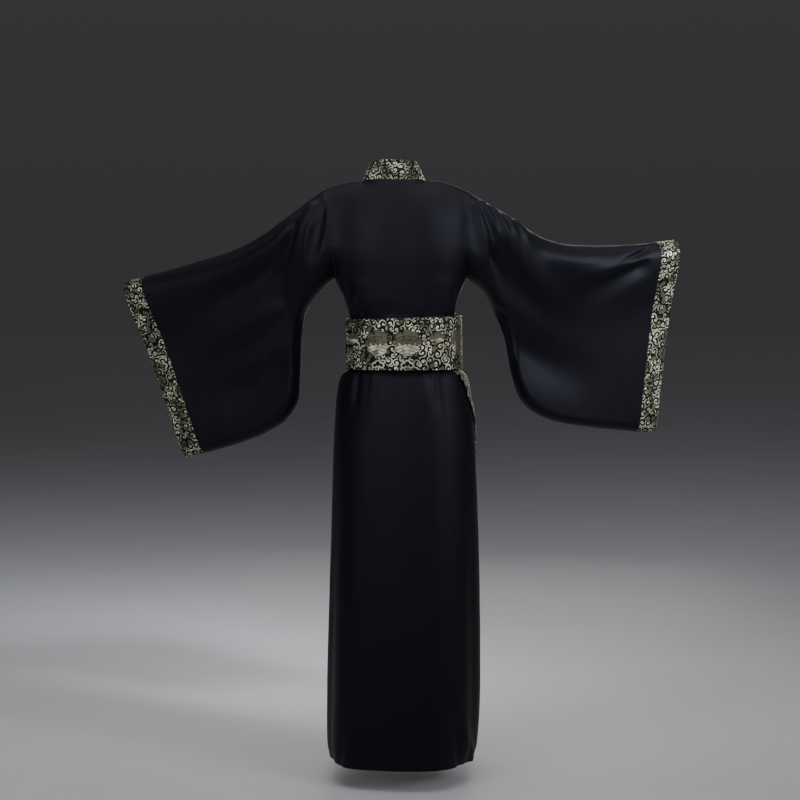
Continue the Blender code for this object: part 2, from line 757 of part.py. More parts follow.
def main():
    clear_scene()
    make_materials()
    panels = [
        make_back_panel(),
        make_front(LEFT, "left_front", LEFT_FRONT_COLUMNS),
        make_front(RIGHT, "right_front", RIGHT_FRONT_COLUMNS),
    ]
    for panel in panels:
        square_shoulder_seam(panel)
    sheets = [
        *panels,
        make_sleeve(LEFT, BACK, "left_sleeve_back"),
        make_sleeve(LEFT, FRONT, "left_sleeve_front"),
        make_sleeve(RIGHT, BACK, "right_sleeve_back"),
        make_sleeve(RIGHT, FRONT, "right_sleeve_front"),
        make_cuff(LEFT, "left_cuff"),
        make_cuff(RIGHT, "right_cuff"),
        *make_bands(),
        make_belt(),
    ]
    share_seam_directions(sheets)
    for sheet in sheets:
        sheet.open_the_seams()
        sheet.build()


main()
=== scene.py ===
"""A black satin hanfu robe with a brocade collar band, cuffs and a wide belt.

Units are metres. +Z is up, the wearer faces -Y and the wearer's left hand is towards +X.
The origin is the middle of the neck opening, level with the tops of the shoulders.

Every piece of cloth starts as a flat grid that is laid onto the robe's form, is creased along
the folds of the tables below, and gets the thickness of its cloth.
"""

import functools
import math
from collections import namedtuple

import bmesh
import bpy
import numpy as np
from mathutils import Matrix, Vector, noise


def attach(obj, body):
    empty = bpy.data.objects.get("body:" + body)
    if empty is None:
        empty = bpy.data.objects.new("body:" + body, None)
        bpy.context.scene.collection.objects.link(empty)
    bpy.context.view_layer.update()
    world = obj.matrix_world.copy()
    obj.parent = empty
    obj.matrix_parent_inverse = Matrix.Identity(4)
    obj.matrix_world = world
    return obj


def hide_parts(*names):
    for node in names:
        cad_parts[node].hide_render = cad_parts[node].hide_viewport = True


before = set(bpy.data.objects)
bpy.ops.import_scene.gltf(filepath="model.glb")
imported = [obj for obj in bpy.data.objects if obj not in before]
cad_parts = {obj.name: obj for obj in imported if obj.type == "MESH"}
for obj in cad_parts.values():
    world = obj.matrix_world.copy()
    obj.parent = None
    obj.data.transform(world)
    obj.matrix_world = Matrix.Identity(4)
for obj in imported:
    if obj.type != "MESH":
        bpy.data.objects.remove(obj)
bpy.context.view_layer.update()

bl_info = {
    "name": "Satin Hanfu Robe",
    "version": (1, 0, 0),
    "blender": (4, 5, 0),
    "location": "View3D > Sidebar > Robe",
    "description": "Builds a black satin robe with a brocade collar band, cuffs and belt",
    "category": "Add Mesh",
}

BACK, FRONT = 1, -1
LEFT, RIGHT = 1, -1
ARM_NAMES = {LEFT: "left", RIGHT: "right"}
SIDE_SEAMS = {LEFT: 0.0, RIGHT: 180.0}  # degrees round the back or the front of the body

# ---------------------------------------------------------------- the robe's measures

OVERLAP_LIFT = 0.0050  # how far the left front stands off the right front that it covers
BAND_WIDTH = 0.055
UNDERARM = -0.242
BELT_TOP = -0.342
BELT_BOTTOM = -0.469
BAND_JOIN = -0.412  # the band is pieced here, under the belt
HEM = -1.450
FLOOR = -1.503

NECK_HALF_WIDTH = 0.077
NECK_BACK_DEPTH = 0.070
NECK_FRONT_DEPTH = 0.045
NECK_DROP = 0.004  # the shoulder seams start this far below the origin
NECK_SPREAD = 0.140  # the neck's shape dies away this far from the middle
NECK_SETTLE = 0.08  # share of the height from neck to underarm over which it does so
BELOW_NECK = 0.0003  # slopes are measured from just under the neckline
SHOULDER_FALL = 2.5  # how fast the shoulder seams curve down, per metre squared
COLLAR_TOP_HALF_WIDTH = 0.056  # at the collar's free edge, which stands up round the neck
COLLAR_TOP_DEPTH = 0.050
COLLAR_TOP_FORWARD = 0.003
COLLAR_SIDE_HEIGHT = 0.042
COLLAR_BACK_RISE = 0.003
LYING_START = -0.012  # the collar stands above this level
LYING_OVER = 0.075  # and lies flat this far below it
ARMHOLE_HALF_DEPTH = 0.080
ARMHOLE_ROUNDING = 0.35  # share of an armhole's height that its rounded ends take up
ARMHOLE_SPREAD = 1.6  # power by which an armhole's hold grows from the middle to its seam
ARMHOLE_ROUND_SPREAD = 36.0  # the same for its rounded ends, which are felt only at the seam
FLAT_LEVELS = (-0.300, -0.150)  # between these the body's sides flatten into the armholes

# The body's sections, from the hem to the neck. `square` is the power of the section's curve.
Section = namedtuple("Section", "level centre half_width back front square")
SECTIONS = (
    Section(HEM, -0.019, 0.1810, 0.158, 0.166, 2.4),
    Section(-1.410, -0.021, 0.1890, 0.160, 0.168, 2.4),
    Section(-1.300, -0.024, 0.1920, 0.160, 0.168, 2.4),
    Section(-1.080, -0.026, 0.1890, 0.154, 0.162, 2.4),
    Section(-0.840, -0.027, 0.1820, 0.145, 0.152, 2.3),
    Section(-0.695, -0.026, 0.1775, 0.138, 0.144, 2.3),
    Section(-0.594, -0.025, 0.1715, 0.131, 0.136, 2.2),
    Section(-0.534, -0.022, 0.1635, 0.124, 0.130, 2.2),
    Section(-0.496, -0.022, 0.1560, 0.116, 0.121, 2.2),
    Section(-0.483, -0.022, 0.1490, 0.109, 0.115, 2.2),
    Section(-0.470, -0.0240, 0.1325, 0.0980, 0.1055, 2.2),
    Section(-0.400, -0.0245, 0.1325, 0.0970, 0.1040, 2.2),
    Section(BELT_TOP, -0.021, 0.1300, 0.0985, 0.1050, 2.2),
    Section(-0.300, -0.017, 0.1390, 0.1050, 0.1100, 2.4),
    Section(UNDERARM, -0.016, 0.1625, 0.1110, 0.1150, 2.6),
    Section(-0.200, -0.014, 0.1700, 0.1140, 0.1160, 2.74),
    Section(-0.120, -0.010, 0.1720, 0.1150, 0.1165, 2.8),
    Section(0.0, -0.005, 0.1800, 0.1050, 0.1100, 2.8),
)

# The soft folds that run down the skirt: depth is at the hem, and below 0 is a trough
SkirtFold = namedtuple("SkirtFold", "side angle_top angle_hem width depth")
SKIRT_FOLDS = (
    SkirtFold(BACK, 24, 20, 9, -0.006),
    SkirtFold(BACK, 47, 44, 11, 0.006),
    SkirtFold(BACK, 78, 74, 10, -0.004),
    SkirtFold(BACK, 112, 118, 12, 0.005),
    SkirtFold(BACK, 146, 151, 9, -0.007),
    SkirtFold(FRONT, 28, 24, 10, -0.008),
    SkirtFold(FRONT, 62, 58, 12, 0.007),
    SkirtFold(FRONT, 98, 95, 10, -0.007),
    SkirtFold(FRONT, 128, 130, 10, 0.006),
)
SKIRT_FOLD_START = -0.56
SKIRT_FOLD_FULL = 0.77  # share of the way down to the hem at which they are full

# The fronts' slanting edges above the belt, as distances towards the wearer's left
Neckline = namedtuple("Neckline", "level left_front right_front")
NECKLINES = (
    Neckline(BELT_TOP, -0.112, 0.052),
    Neckline(-0.300, -0.082, 0.045),
    Neckline(UNDERARM, -0.041, 0.028),
    Neckline(-0.180, 0.003, -0.001),
    Neckline(-0.120, 0.040, -0.037),
    Neckline(-0.050, 0.071, -0.071),
    Neckline(0.0, NECK_HALF_WIDTH, -NECK_HALF_WIDTH),
)
# The fronts' edges from the belt down, in degrees round the body from each one's side seam
Edge = namedtuple("Edge", "level left_front right_front")
FRONT_EDGES = (
    Edge(HEM, 138, 128),
    Edge(-1.000, 141, 127),
    Edge(-0.700, 147, 126),
    Edge(-0.620, 155, 125),
    Edge(-0.580, 163, 125),
    Edge(-0.530, 174, 124),
    Edge(-0.475, 181, 123),
    Edge(-0.410, 161, 122),
    Edge(BELT_TOP, 138, 122),
)
LIFT_START, LIFT_END = 4, 26  # degrees over which the left front lifts off the side seam
LIFT_LEVELS = (-0.006, -0.055)  # and the levels over which it lifts off at the neck

ARM_START = 0.18  # the arms reach forward from this distance out
ARM_FORWARD = 0.66  # metres forward for each metre out, at first
ARM_STRAIGHTEN = 0.27  # and how much less, per metre squared
ARM_EASE = 0.03  # the bend at the shoulder is eased over about this distance

# The sleeves' upper and lower edges, seen from behind, as distances out from the neck
Rib = namedtuple("Rib", "along top_out top_level bottom_out bottom_level")
LEFT_RIBS = (
    Rib(0.0, 0.175, -0.028, 0.150, -0.242),
    Rib(0.1, 0.220, -0.060, 0.199, -0.289),
    Rib(0.2, 0.262, -0.092, 0.233, -0.344),
    Rib(0.3, 0.305, -0.124, 0.243, -0.410),
    Rib(0.4, 0.350, -0.150, 0.245, -0.477),
    Rib(0.5, 0.397, -0.170, 0.248, -0.544),
    Rib(0.6, 0.446, -0.186, 0.276, -0.600),
    Rib(0.7, 0.496, -0.200, 0.325, -0.635),
    Rib(0.8, 0.547, -0.213, 0.379, -0.660),
    Rib(0.9, 0.599, -0.226, 0.435, -0.680),
    Rib(1.0, 0.651, -0.239, 0.489, -0.696),
    Rib(1.1, 0.701, -0.251, 0.538, -0.711),
)
RIGHT_RIBS = (
    Rib(0.0, 0.185, -0.033, 0.182, -0.242),
    Rib(0.1, 0.236, -0.061, 0.229, -0.280),
    Rib(0.2, 0.283, -0.089, 0.264, -0.343),
    Rib(0.3, 0.326, -0.118, 0.291, -0.411),
    Rib(0.4, 0.371, -0.142, 0.304, -0.483),
    Rib(0.5, 0.421, -0.155, 0.327, -0.553),
    Rib(0.6, 0.474, -0.160, 0.377, -0.597),
    Rib(0.7, 0.527, -0.161, 0.440, -0.617),
    Rib(0.8, 0.581, -0.159, 0.505, -0.630),
    Rib(0.9, 0.634, -0.155, 0.570, -0.638),
    Rib(1.0, 0.686, -0.150, 0.634, -0.646),
    Rib(1.1, 0.738, -0.145, 0.682, -0.651),
)
RIBS = {LEFT: LEFT_RIBS, RIGHT: RIGHT_RIBS}
CUFF_END = 1.1  # the sleeve ends at 1, and the cuff here
ARM_RADIUS_SHOULDER = 0.062
ARM_RADIUS_WRIST = 0.044
HANGING_HALF_GAP = 0.023  # half the hollow in the bag that hangs under the arm
ARM_FADE = 0.10  # the arm's roundness dies away this far below it
LOWER_FOLD_RADIUS = 0.022
ARMHOLE_BLEND = 0.28  # the sleeve takes on its own shape up to this place along it

BELT_CENTRE = -0.0245
BELT_HALF_WIDTH = 0.1420
BELT_BACK = 0.1070
BELT_FRONT = 0.1160
BELT_SQUARE = 2.2  # power of the belt's curve, as in the sections
BELT_TOP_TILT = 0.004  # its upper edge is this much lower at the left and higher at the right
BELT_SPLAY = 0.0015  # how far its lower edge stands further out
BELT_LAP = 0.0036  # how far the outer end stands off the inner one
BELT_INNER_START = 116  # degrees, where 90 is the middle of the back
BELT_OUTER_END = 74
BELT_TURN = 360 + BELT_INNER_START - BELT_OUTER_END
BELT_LAP_REACH = 100  # degrees before its outer end at which the belt begins to stand off
BELT_LAP_STEP = 62  # degrees over which it does so

# How finely the cloth is divided
UPPER_ROWS = 104
LOWER_ROWS = ((BELT_TOP, 36), (BELT_BOTTOM, 18), (-0.700, 46), (HEM, 120))  # down to, rows
SHOULDER_COLUMNS = 38
NECK_COLUMNS = 24
FRONT_COLUMNS = {LEFT: 104, RIGHT: 84}
BAND_COLUMNS = 12
SLEEVE_ROWS = ((0.35, 100), (1.0, 130))  # out to, rows
CUFF_ROWS = 14
BELT_COLUMNS = 260
BELT_ROWS = 36
HALVINGS = 40  # steps in which an angle is found, to a billionth of a degree

# ---------------------------------------------------------------- the folds

# A crease runs along a curve through three points, seen from behind: distance towards the
# wearer's left, and height. It starts where the cloth is pulled together, narrow and deep, and
# dies away wide. `width` is half its breadth in the middle and `depth` is outward, so below 0
# it is a valley. `lean` pushes the fold over, by up to 1, towards the wearer's left for a
# crease that runs down.
Crease = namedtuple("Crease", "start middle end width depth lean")
RIGHT_ARMHOLE = (
    Crease((-0.190, -0.050), (-0.214, -0.122), (-0.232, -0.236), 0.0125, 0.0100, 0.55),
    Crease((-0.202, -0.052), (-0.236, -0.098), (-0.270, -0.180), 0.0075, 0.0120, 0.90),
    Crease((-0.226, -0.060), (-0.263, -0.108), (-0.292, -0.170), 0.0090, 0.0095, 0.60),
    Crease((-0.266, -0.078), (-0.296, -0.136), (-0.326, -0.222), 0.0100, 0.0080, 0.60),
    Crease((-0.292, -0.092), (-0.326, -0.150), (-0.356, -0.236), 0.0140, 0.0090, 0.50),
    Crease((-0.240, -0.170), (-0.262, -0.236), (-0.292, -0.340), 0.0200, -0.0120, 0.0),
    Crease((-0.232, -0.150), (-0.248, -0.196), (-0.262, -0.250), 0.0110, -0.0080, 0.0),
    Crease((-0.348, -0.126), (-0.374, -0.138), (-0.412, -0.150), 0.0080, 0.0035, -0.5),
)
LEFT_ARMHOLE = (
    Crease((0.188, -0.048), (0.222, -0.120), (0.258, -0.235), 0.0150, 0.0100, 0.25),
    Crease((0.168, -0.055), (0.187, -0.130), (0.198, -0.235), 0.0150, -0.0100, 0.0),
    Crease((0.196, -0.095), (0.213, -0.170), (0.214, -0.262), 0.0070, 0.0070, -0.50),
    Crease((0.160, -0.120), (0.174, -0.172), (0.178, -0.235), 0.0090, 0.0045, -0.30),
    Crease((0.232, -0.100), (0.262, -0.168), (0.282, -0.256), 0.0130, -0.0070, 0.0),
)
RIGHT_SLEEVE = (
    Crease((-0.676, -0.152), (-0.625, -0.186), (-0.556, -0.214), 0.0085, -0.0090, 0.70),
    Crease((-0.676, -0.196), (-0.568, -0.246), (-0.430, -0.305), 0.0200, -0.0120, 0.75),
    Crease((-0.250, -0.080), (-0.340, -0.228), (-0.500, -0.345), 0.0300, 0.0150, 0.40),
    Crease((-0.252, -0.300), (-0.352, -0.440), (-0.590, -0.530), 0.0480, -0.0220, 0.0),
    Crease((-0.330, -0.176), (-0.500, -0.206), (-0.664, -0.200), 0.0360, 0.0085, -0.25),
)
LEFT_SLEEVE = (
    Crease((0.222, -0.075), (0.335, -0.186), (0.545, -0.280), 0.0240, 0.0095, -0.35),
    Crease((0.262, -0.098), (0.380, -0.176), (0.600, -0.246), 0.0120, -0.0045, 0.0),
    Crease((0.270, -0.190), (0.380, -0.266), (0.570, -0.336), 0.0280, -0.0100, 0.0),
    Crease((0.256, -0.290), (0.395, -0.376), (0.560, -0.424), 0.0360, 0.0080, -0.30),
    Crease((0.254, -0.420), (0.380, -0.530), (0.580, -0.560), 0.0420, -0.0090, 0.0),
)
BACK_OF_BODY = (
    Crease((-0.156, -0.345), (-0.159, -0.300), (-0.166, -0.236), 0.0065, 0.0080, -0.60),
    Crease((-0.141, -0.345), (-0.146, -0.308), (-0.152, -0.262), 0.0055, -0.0060, 0.0),
    Crease((-0.128, -0.345), (-0.130, -0.312), (-0.134, -0.272), 0.0060, 0.0050, -0.40),
    Crease((0.094, -0.345), (0.097, -0.312), (0.098, -0.276), 0.0060, 0.0080, 0.55),
    Crease((0.104, -0.345), (0.112, -0.276), (0.128, -0.206), 0.0095, -0.0110, 0.0),
    Crease((0.118, -0.330), (0.126, -0.240), (0.146, -0.165), 0.0120, 0.0065, -0.50),
    Crease((0.073, -0.345), (0.076, -0.318), (0.077, -0.290), 0.0070, -0.0040, 0.0),
    Crease((-0.056, -0.345), (-0.059, -0.320), (-0.062, -0.285), 0.0100, 0.0025, 0.0),
    Crease((0.012, -0.345), (0.011, -0.322), (0.010, -0.292), 0.0120, -0.0025, 0.0),
    Crease((-0.105, -0.466), (-0.110, -0.520), (-0.120, -0.620), 0.0085, -0.0045, 0.0),
    Crease((-0.070, -0.466), (-0.073, -0.512), (-0.080, -0.590), 0.0095, 0.0035, 0.25),
    Crease((-0.012, -0.466), (-0.012, -0.508), (-0.015, -0.570), 0.0095, -0.0030, 0.0),
    Crease((0.045, -0.466), (0.048, -0.518), (0.056, -0.610), 0.0100, 0.0035, -0.25),
    Crease((0.085, -0.466), (0.091, -0.518), (0.102, -0.620), 0.0085, -0.0045, 0.0),
    Crease((-0.204, -1.500), (-0.186, -1.405), (-0.172, -1.300), 0.0100, 0.0080, 0.40),
    Crease((-0.168, -1.500), (-0.158, -1.415), (-0.148, -1.330), 0.0090, -0.0060, 0.0),
    Crease((0.142, -1.500), (0.130, -1.405), (0.118, -1.300), 0.0120, -0.0050, 0.0),
)
FRONT_OF_BODY = (
    Crease((0.080, -0.345), (0.118, -0.275), (0.152, -0.195), 0.0100, -0.0080, 0.0),
    Crease((0.062, -0.345), (0.098, -0.280), (0.134, -0.205), 0.0090, 0.0060, 0.40),
    Crease((0.032, -0.345), (0.058, -0.292), (0.088, -0.230), 0.0095, -0.0050, 0.0),
    Crease((-0.116, -0.345), (-0.134, -0.280), (-0.157, -0.205), 0.0100, -0.0080, 0.0),
    Crease((-0.131, -0.345), (-0.140, -0.305), (-0.152, -0.255), 0.0075, 0.0050, -0.30),
    Crease((0.100, -0.466), (0.108, -0.545), (0.120, -0.730), 0.0115, -0.0065, 0.0),
    Crease((0.070, -0.466), (0.075, -0.545), (0.086, -0.690), 0.0115, 0.0055, 0.30),
    Crease((0.020, -0.466), (0.022, -0.535), (0.027, -0.670), 0.0125, -0.0050, 0.0),
    Crease((-0.040, -0.466), (-0.040, -0.535), (-0.035, -0.670), 0.0115, 0.0045, 0.0),
    Crease((-0.128, -0.474), (-0.138, -0.560), (-0.152, -0.720), 0.0115, -0.0065, 0.0),
    Crease((0.152, -1.500), (0.141, -1.360), (0.128, -1.220), 0.0130, 0.0070, 0.40),
    Crease((-0.128, -1.500), (-0.119, -1.380), (-0.108, -1.250), 0.0130, -0.0065, 0.0),
)
BELT_DENTS = (
    Crease((-0.005, -0.404), (-0.050, -0.408), (-0.105, -0.396), 0.0170, -0.0035, 0.0),
    Crease((0.098, -0.400), (0.060, -0.410), (0.026, -0.405), 0.0150, -0.0028, 0.0),
    Crease((-0.018, -0.352), (-0.050, -0.358), (-0.088, -0.352), 0.0085, -0.0030, 0.0),
)
FRONT_SHIFT = (0.004, -0.010)  # the folds of the front layer lie this far from those behind
FRONT_SHARE = 0.85  # and are this much as deep
START_FADE, END_FADE = 0.22, 0.55  # share of a crease over which each end dies away
START_WIDTH, END_WIDTH = 0.6, 1.5  # share of a crease's breadth at each end
STEEP_SIDE, GENTLE_SIDE = 0.50, 0.60  # how much a fold that leans over narrows and widens
UNDERCUT = 0.55  # depth of the hollow under a leaning fold, as a share of the fold's
UNDERCUT_PLACE, UNDERCUT_WIDTH = 1.5, 0.7  # shares of the fold's breadth
CREASE_STEPS = 28  # points along a crease's curve
CREASE_REACH = 4.5  # no crease is felt further off than this many times its breadth
SEAM_HOLD, FOLDS_FROM = 0.08, 0.55  # cloth edgewise to the view holds smooth, as at the seams
BELT_HOLD = 0.012  # the belt holds the cloth flat, up to this far beyond its edges
BELT_CLEARANCE = 0.010  # and up to this far out to its sides

# The unevenness of hanging satin, slow and then fine: its height, and its waves to the metre
UNEVENNESS = ((0.0016, (11.0, 11.0, 3.2)), (0.0005, (34.0, 34.0, 14.0)))
SHARP_EDGE = math.radians(50)
SAME_PLACE = 0.00002  # points of a ring's first and last column that are this near are one


# ---------------------------------------------------------------- reading the form


def smoothstep(value):
    value = np.clip(value, 0.0, 1.0)
    return value * value * (3.0 - 2.0 * value)


def blend(start, end, share):
    return start + (end - start) * share


def read_table(table, column, at):
    """A column of a table at places between its rows, on a curve that keeps within them."""
    rows = sorted(table, key=lambda row: row[0])
    places = np.array([row[0] for row in rows])
    values = np.array([getattr(row, column) for row in rows])
    steps = np.diff(places)
    slopes = np.diff(values) / steps
    tangents = np.zeros(len(rows))
    tangents[0], tangents[-1] = slopes[0], slopes[-1]
    for k, (before, after) in enumerate(zip(slopes, slopes[1:]), start=1):
        if before * after > 0.0:
            wide, narrow = 2 * steps[k] + steps[k - 1], steps[k] + 2 * steps[k - 1]
            tangents[k] = (wide + narrow) / (wide / before + narrow / after)
    at = np.clip(at, places[0], places[-1])
    i = np.clip(np.searchsorted(places, at, side="right") - 1, 0, len(steps) - 1)
    t = (at - places[i]) / steps[i]
    square, cube = t * t, t * t * t
    return (
        values[i] * (2 * cube - 3 * square + 1)
        + tangents[i] * steps[i] * (cube - 2 * square + t)
        + values[i + 1] * (3 * square - 2 * cube)
        + tangents[i + 1] * steps[i] * (cube - square)
    )


def normalised(vectors):
    return vectors / np.maximum(np.linalg.norm(vectors, axis=-1, keepdims=True), 1e-12)


def dotted(a, b):
    return np.sum(a * b, axis=-1)


def shoulder_height(x):
    """The height of the shoulder seams, this far towards the wearer's left."""
    return -NECK_DROP - SHOULDER_FALL * np.maximum(0.0, np.abs(x) - NECK_HALF_WIDTH) ** 2


def neck_depth(side, x, raised):
    """How far behind or in front of the shoulder seam the cloth is, as the neck has shaped it."""
    edge = np.sqrt(np.maximum(0.0, 1.0 - (x / NECK_HALF_WIDTH) ** 2))
    settled = (1.0 + np.cos(math.pi * np.minimum(np.abs(x) / NECK_SPREAD, 1.0))) / 2
    share = smoothstep((1.0 - raised) / NECK_SETTLE)
    depth = np.where(side == BACK, NECK_BACK_DEPTH, NECK_FRONT_DEPTH)
    return depth * blend(edge, settled, share)


def armhole_depth(opened, across):
    """How much the armholes hold the cloth apart, from the middle, 0, to their seams, 1."""
    rounded, eased = 1.0 - (1.0 - opened) ** 2, smoothstep(opened)
    share = eased * np.abs(across) ** ARMHOLE_SPREAD
    share = share + (rounded - eased) * np.abs(across) ** ARMHOLE_ROUND_SPREAD
    return ARMHOLE_HALF_DEPTH * np.sqrt(share)


def skirt_fold(side, angle, level):
    """How far the folds push the skirt out or in."""
    fallen = (SKIRT_FOLD_START - level) / (SKIRT_FOLD_START - HEM)
    total = np.zeros_like(angle)
    for fold in SKIRT_FOLDS:
        middle = blend(fold.angle_top, fold.angle_hem, fallen)
        push = fold.depth * np.exp(-(((angle - middle) / fold.width) ** 2))
        total += np.where(side == fold.side, push, 0.0)
    return total * smoothstep(fallen / SKIRT_FOLD_FULL)


def body_points(side, angle, level):
    """The body's surface: degrees round the back or the front half, and the level."""
    side, angle, level = np.broadcast_arrays(side, angle, level)
    beyond = (angle > 180.0) | (angle < 0.0)
    side = np.where(beyond, -side, side)
    angle = np.where(angle > 180.0, 360.0 - angle, np.abs(angle))
    cosine, sine = np.cos(np.radians(angle)), np.sin(np.radians(angle))
    square = read_table(SECTIONS, "square", level)
    across = cosine * (np.abs(cosine) ** square + np.abs(sine) ** square) ** (-1 / square)

    # Above the waist the section's round sides flatten, until they are the armholes
    round_up_to, flat_from = FLAT_LEVELS
    flatness = smoothstep((level - round_up_to) / (flat_from - round_up_to))
    across = blend(across, 1.0 - angle / 90.0, flatness)
    spare = np.maximum(0.0, 1.0 - np.abs(across) ** square) ** (1 / blend(square, 1.0, flatness))
    half_width = read_table(SECTIONS, "half_width", level)
    back, front = (read_table(SECTIONS, name, level) for name in ("back", "front"))
    depth = np.where(side == BACK, back, front)
    x = read_table(SECTIONS, "centre", level) + half_width * across

    # Towards the top the back and the front close on the shoulder seams, apart from the neck
    raised = np.maximum(0.0, 1.0 - level / UNDERARM)
    opened = np.minimum(raised / ARMHOLE_ROUNDING, 1.0)
    low = np.hypot(depth * spare, armhole_depth(opened, across))
    high = neck_depth(side, x, raised)
    y = side * np.sqrt(high**2 * raised**3 + low**2 * (1.0 - raised**3))
    z = level + shoulder_height(x) * raised**2 * (2.0 - raised)

    fold = skirt_fold(side, angle, level)
    away = normalised(np.stack([cosine / half_width, side * sine / depth], axis=-1))
    return np.stack([x + away[..., 0] * fold, y + away[..., 1] * fold, z], axis=-1)


def body_slopes(side, angle, level):
    """How the body's surface moves with each degree and each metre of level."""
    turn, drop = 0.5, 0.002  # degrees and metres to each side
    above = level > UNDERARM
    low = np.where(above, np.maximum(angle - turn, 0.0), angle - turn)
    high = np.where(above, np.minimum(angle + turn, 180.0), angle + turn)
    round_it = body_points(side, high, level) - body_points(side, low, level)
    top = np.minimum(level + drop, -BELOW_NECK)
    rise = body_points(side, angle, top) - body_points(side, angle, top - 2 * drop)
    return round_it / (high - low)[..., None], rise / (2 * drop)


def body_outward(side, angle, level):
    """The way out from the body, square to its surface."""
    round_it, rise = body_slopes(side, angle, level)
    return normalised(np.cross(round_it, rise) * side)


def forward_of(out):
    """How far in front of the shoulders a sleeve is, and how fast that grows outwards."""
    past = np.maximum(0.0, out - ARM_START)
    eased = np.sqrt(past**2 + ARM_EASE**2)
    forward = ARM_FORWARD * (eased - ARM_EASE) - ARM_STRAIGHTEN * past**2
    return forward, ARM_FORWARD * past / eased - 2 * ARM_STRAIGHTEN * past


def hanging_half_depth(along, from_top, from_bottom):
    """Half the distance between the sleeve's front and back layers."""
    radius = blend(ARM_RADIUS_SHOULDER, ARM_RADIUS_WRIST, np.minimum(along, 1.0))
    rounded = np.sqrt(np.maximum(0.0, radius**2 - (radius - from_top) ** 2))
    fade = np.exp(-((np.maximum(from_top - radius, 0.0) / ARM_FADE) ** 2))
    half = np.where(from_top < radius, rounded, blend(HANGING_HALF_GAP, radius, fade))
    closing = 1.0 - np.minimum(from_bottom / LOWER_FOLD_RADIUS, 1.0)
    return half * np.sqrt(1.0 - closing**2)


def rib_points(arm, along, side, down):
    """A sleeve on its own ribs, at a place along it, on a layer, and at a share of the way down."""
    ribs = RIBS[arm]
    top = np.stack([read_table(ribs, name, along) for name in ("top_out", "top_level")], -1)
    low = np.stack([read_table(ribs, name, along) for name in ("bottom_out", "bottom_level")], -1)
    place = blend(top, low, down[..., None])
    out, level = place[..., 0], place[..., 1]
    drop = np.linalg.norm(low - top, axis=-1)
    oval = ARMHOLE_HALF_DEPTH * np.sqrt(np.maximum(0.0, 1.0 - (2 * down - 1) ** 2))
    hanging = hanging_half_depth(along, drop * down, drop * (1 - down))
    off_armhole = smoothstep(along / ARMHOLE_BLEND)
    half = blend(oval, hanging, off_armhole) * side
    forward, slope = forward_of(out)
    turned = slope * off_armhole
    length = np.sqrt(turned**2 + 1.0)
    return np.stack([arm * (out + turned * half / length), half / length - forward, level], -1)


def sleeve_points(arm, along, side, down):
    """The sleeve starts exactly at the armhole and eases onto its own ribs."""
    along, side, down = np.broadcast_arrays(along, side, down)
    armhole = body_points(side, SIDE_SEAMS[arm], UNDERARM * down)
    start = armhole - rib_points(arm, np.zeros_like(along), side, down)
    ease = 1.0 - smoothstep(along / ARMHOLE_BLEND)
    return rib_points(arm, along, side, down) + start * ease[..., None]


# ---------------------------------------------------------------- the pieces' outlines


def upper_levels():
    """Levels from the neck down to the underarm, closer together at both ends."""
    turns = np.linspace(0.0, math.pi, UPPER_ROWS + 1)
    return UNDERARM * (1.0 - np.cos(turns)) / 2


def divided(start, stops):
    """Places from a start through each stop in turn, with so many steps up to each."""
    spans = [[start]]
    for stop, count in stops:
        spans.append(np.linspace(spans[-1][-1], stop, count + 1)[1:])
    return np.concatenate(spans)


def body_levels():
    return np.concatenate([upper_levels(), divided(UNDERARM, LOWER_ROWS)[1:]])


def angle_at(x, level):
    """The angle at which the body's surface reaches this far towards the wearer's left."""
    x, level = np.broadcast_arrays(np.asarray(x, float), np.asarray(level, float))
    low, high = np.zeros(x.shape), np.full(x.shape, 180.0)
    for _ in range(HALVINGS):
        middle = (low + high) / 2
        further = body_points(FRONT, middle, level)[..., 0] > x
        low, high = np.where(further, middle, low), np.where(further, high, middle)
    return (low + high) / 2


def back_angles():
    """Angles across the back, with one exactly at each side of the neck and at its middle."""
    left, middle, right = angle_at([NECK_HALF_WIDTH, 0.0, -NECK_HALF_WIDTH], 0.0)
    stops = ((left, SHOULDER_COLUMNS), (middle, NECK_COLUMNS))
    stops += ((right, NECK_COLUMNS), (180.0, SHOULDER_COLUMNS))
    return divided(0.0, stops)


def edge_angle(arm, level):
    """Where a front panel ends, as an angle on the body."""
    column = f"{ARM_NAMES[arm]}_front"
    by_neckline = angle_at(read_table(NECKLINES, column, level), level)
    from_seam = read_table(FRONT_EDGES, column, level)
    return np.where(level > BELT_TOP, by_neckline, np.abs(SIDE_SEAMS[arm] - from_seam))


def front_points(arm, angle, level):
    """The cloth of a front panel. The left front lies over the right one."""
    points = body_points(FRONT, angle, level)
    if arm == RIGHT:
        return points
    outward = body_outward(FRONT, angle, level)
    # From the belt down the overlap stands off level, so that the hem stays level too
    outward[..., 2] *= smoothstep((level - BELT_TOP) / (UNDERARM - BELT_TOP))
    high, low = LIFT_LEVELS
    lift = OVERLAP_LIFT * smoothstep((angle - LIFT_START) / (LIFT_END - LIFT_START))
    lift = lift * smoothstep((high - level) / (high - low))
    return points + normalised(outward) * lift[..., None]


def collar_top(arm, round_neck):
    """The collar's free edge, from the middle of the back, 0, to the side of the neck, 1."""
    turn = np.radians(90 * np.asarray(round_neck, float))
    return np.stack([
        arm * COLLAR_TOP_HALF_WIDTH * np.sin(turn),
        COLLAR_TOP_DEPTH * np.cos(turn) - COLLAR_TOP_FORWARD,
        COLLAR_SIDE_HEIGHT + COLLAR_BACK_RISE * np.cos(turn),
    ], axis=-1)


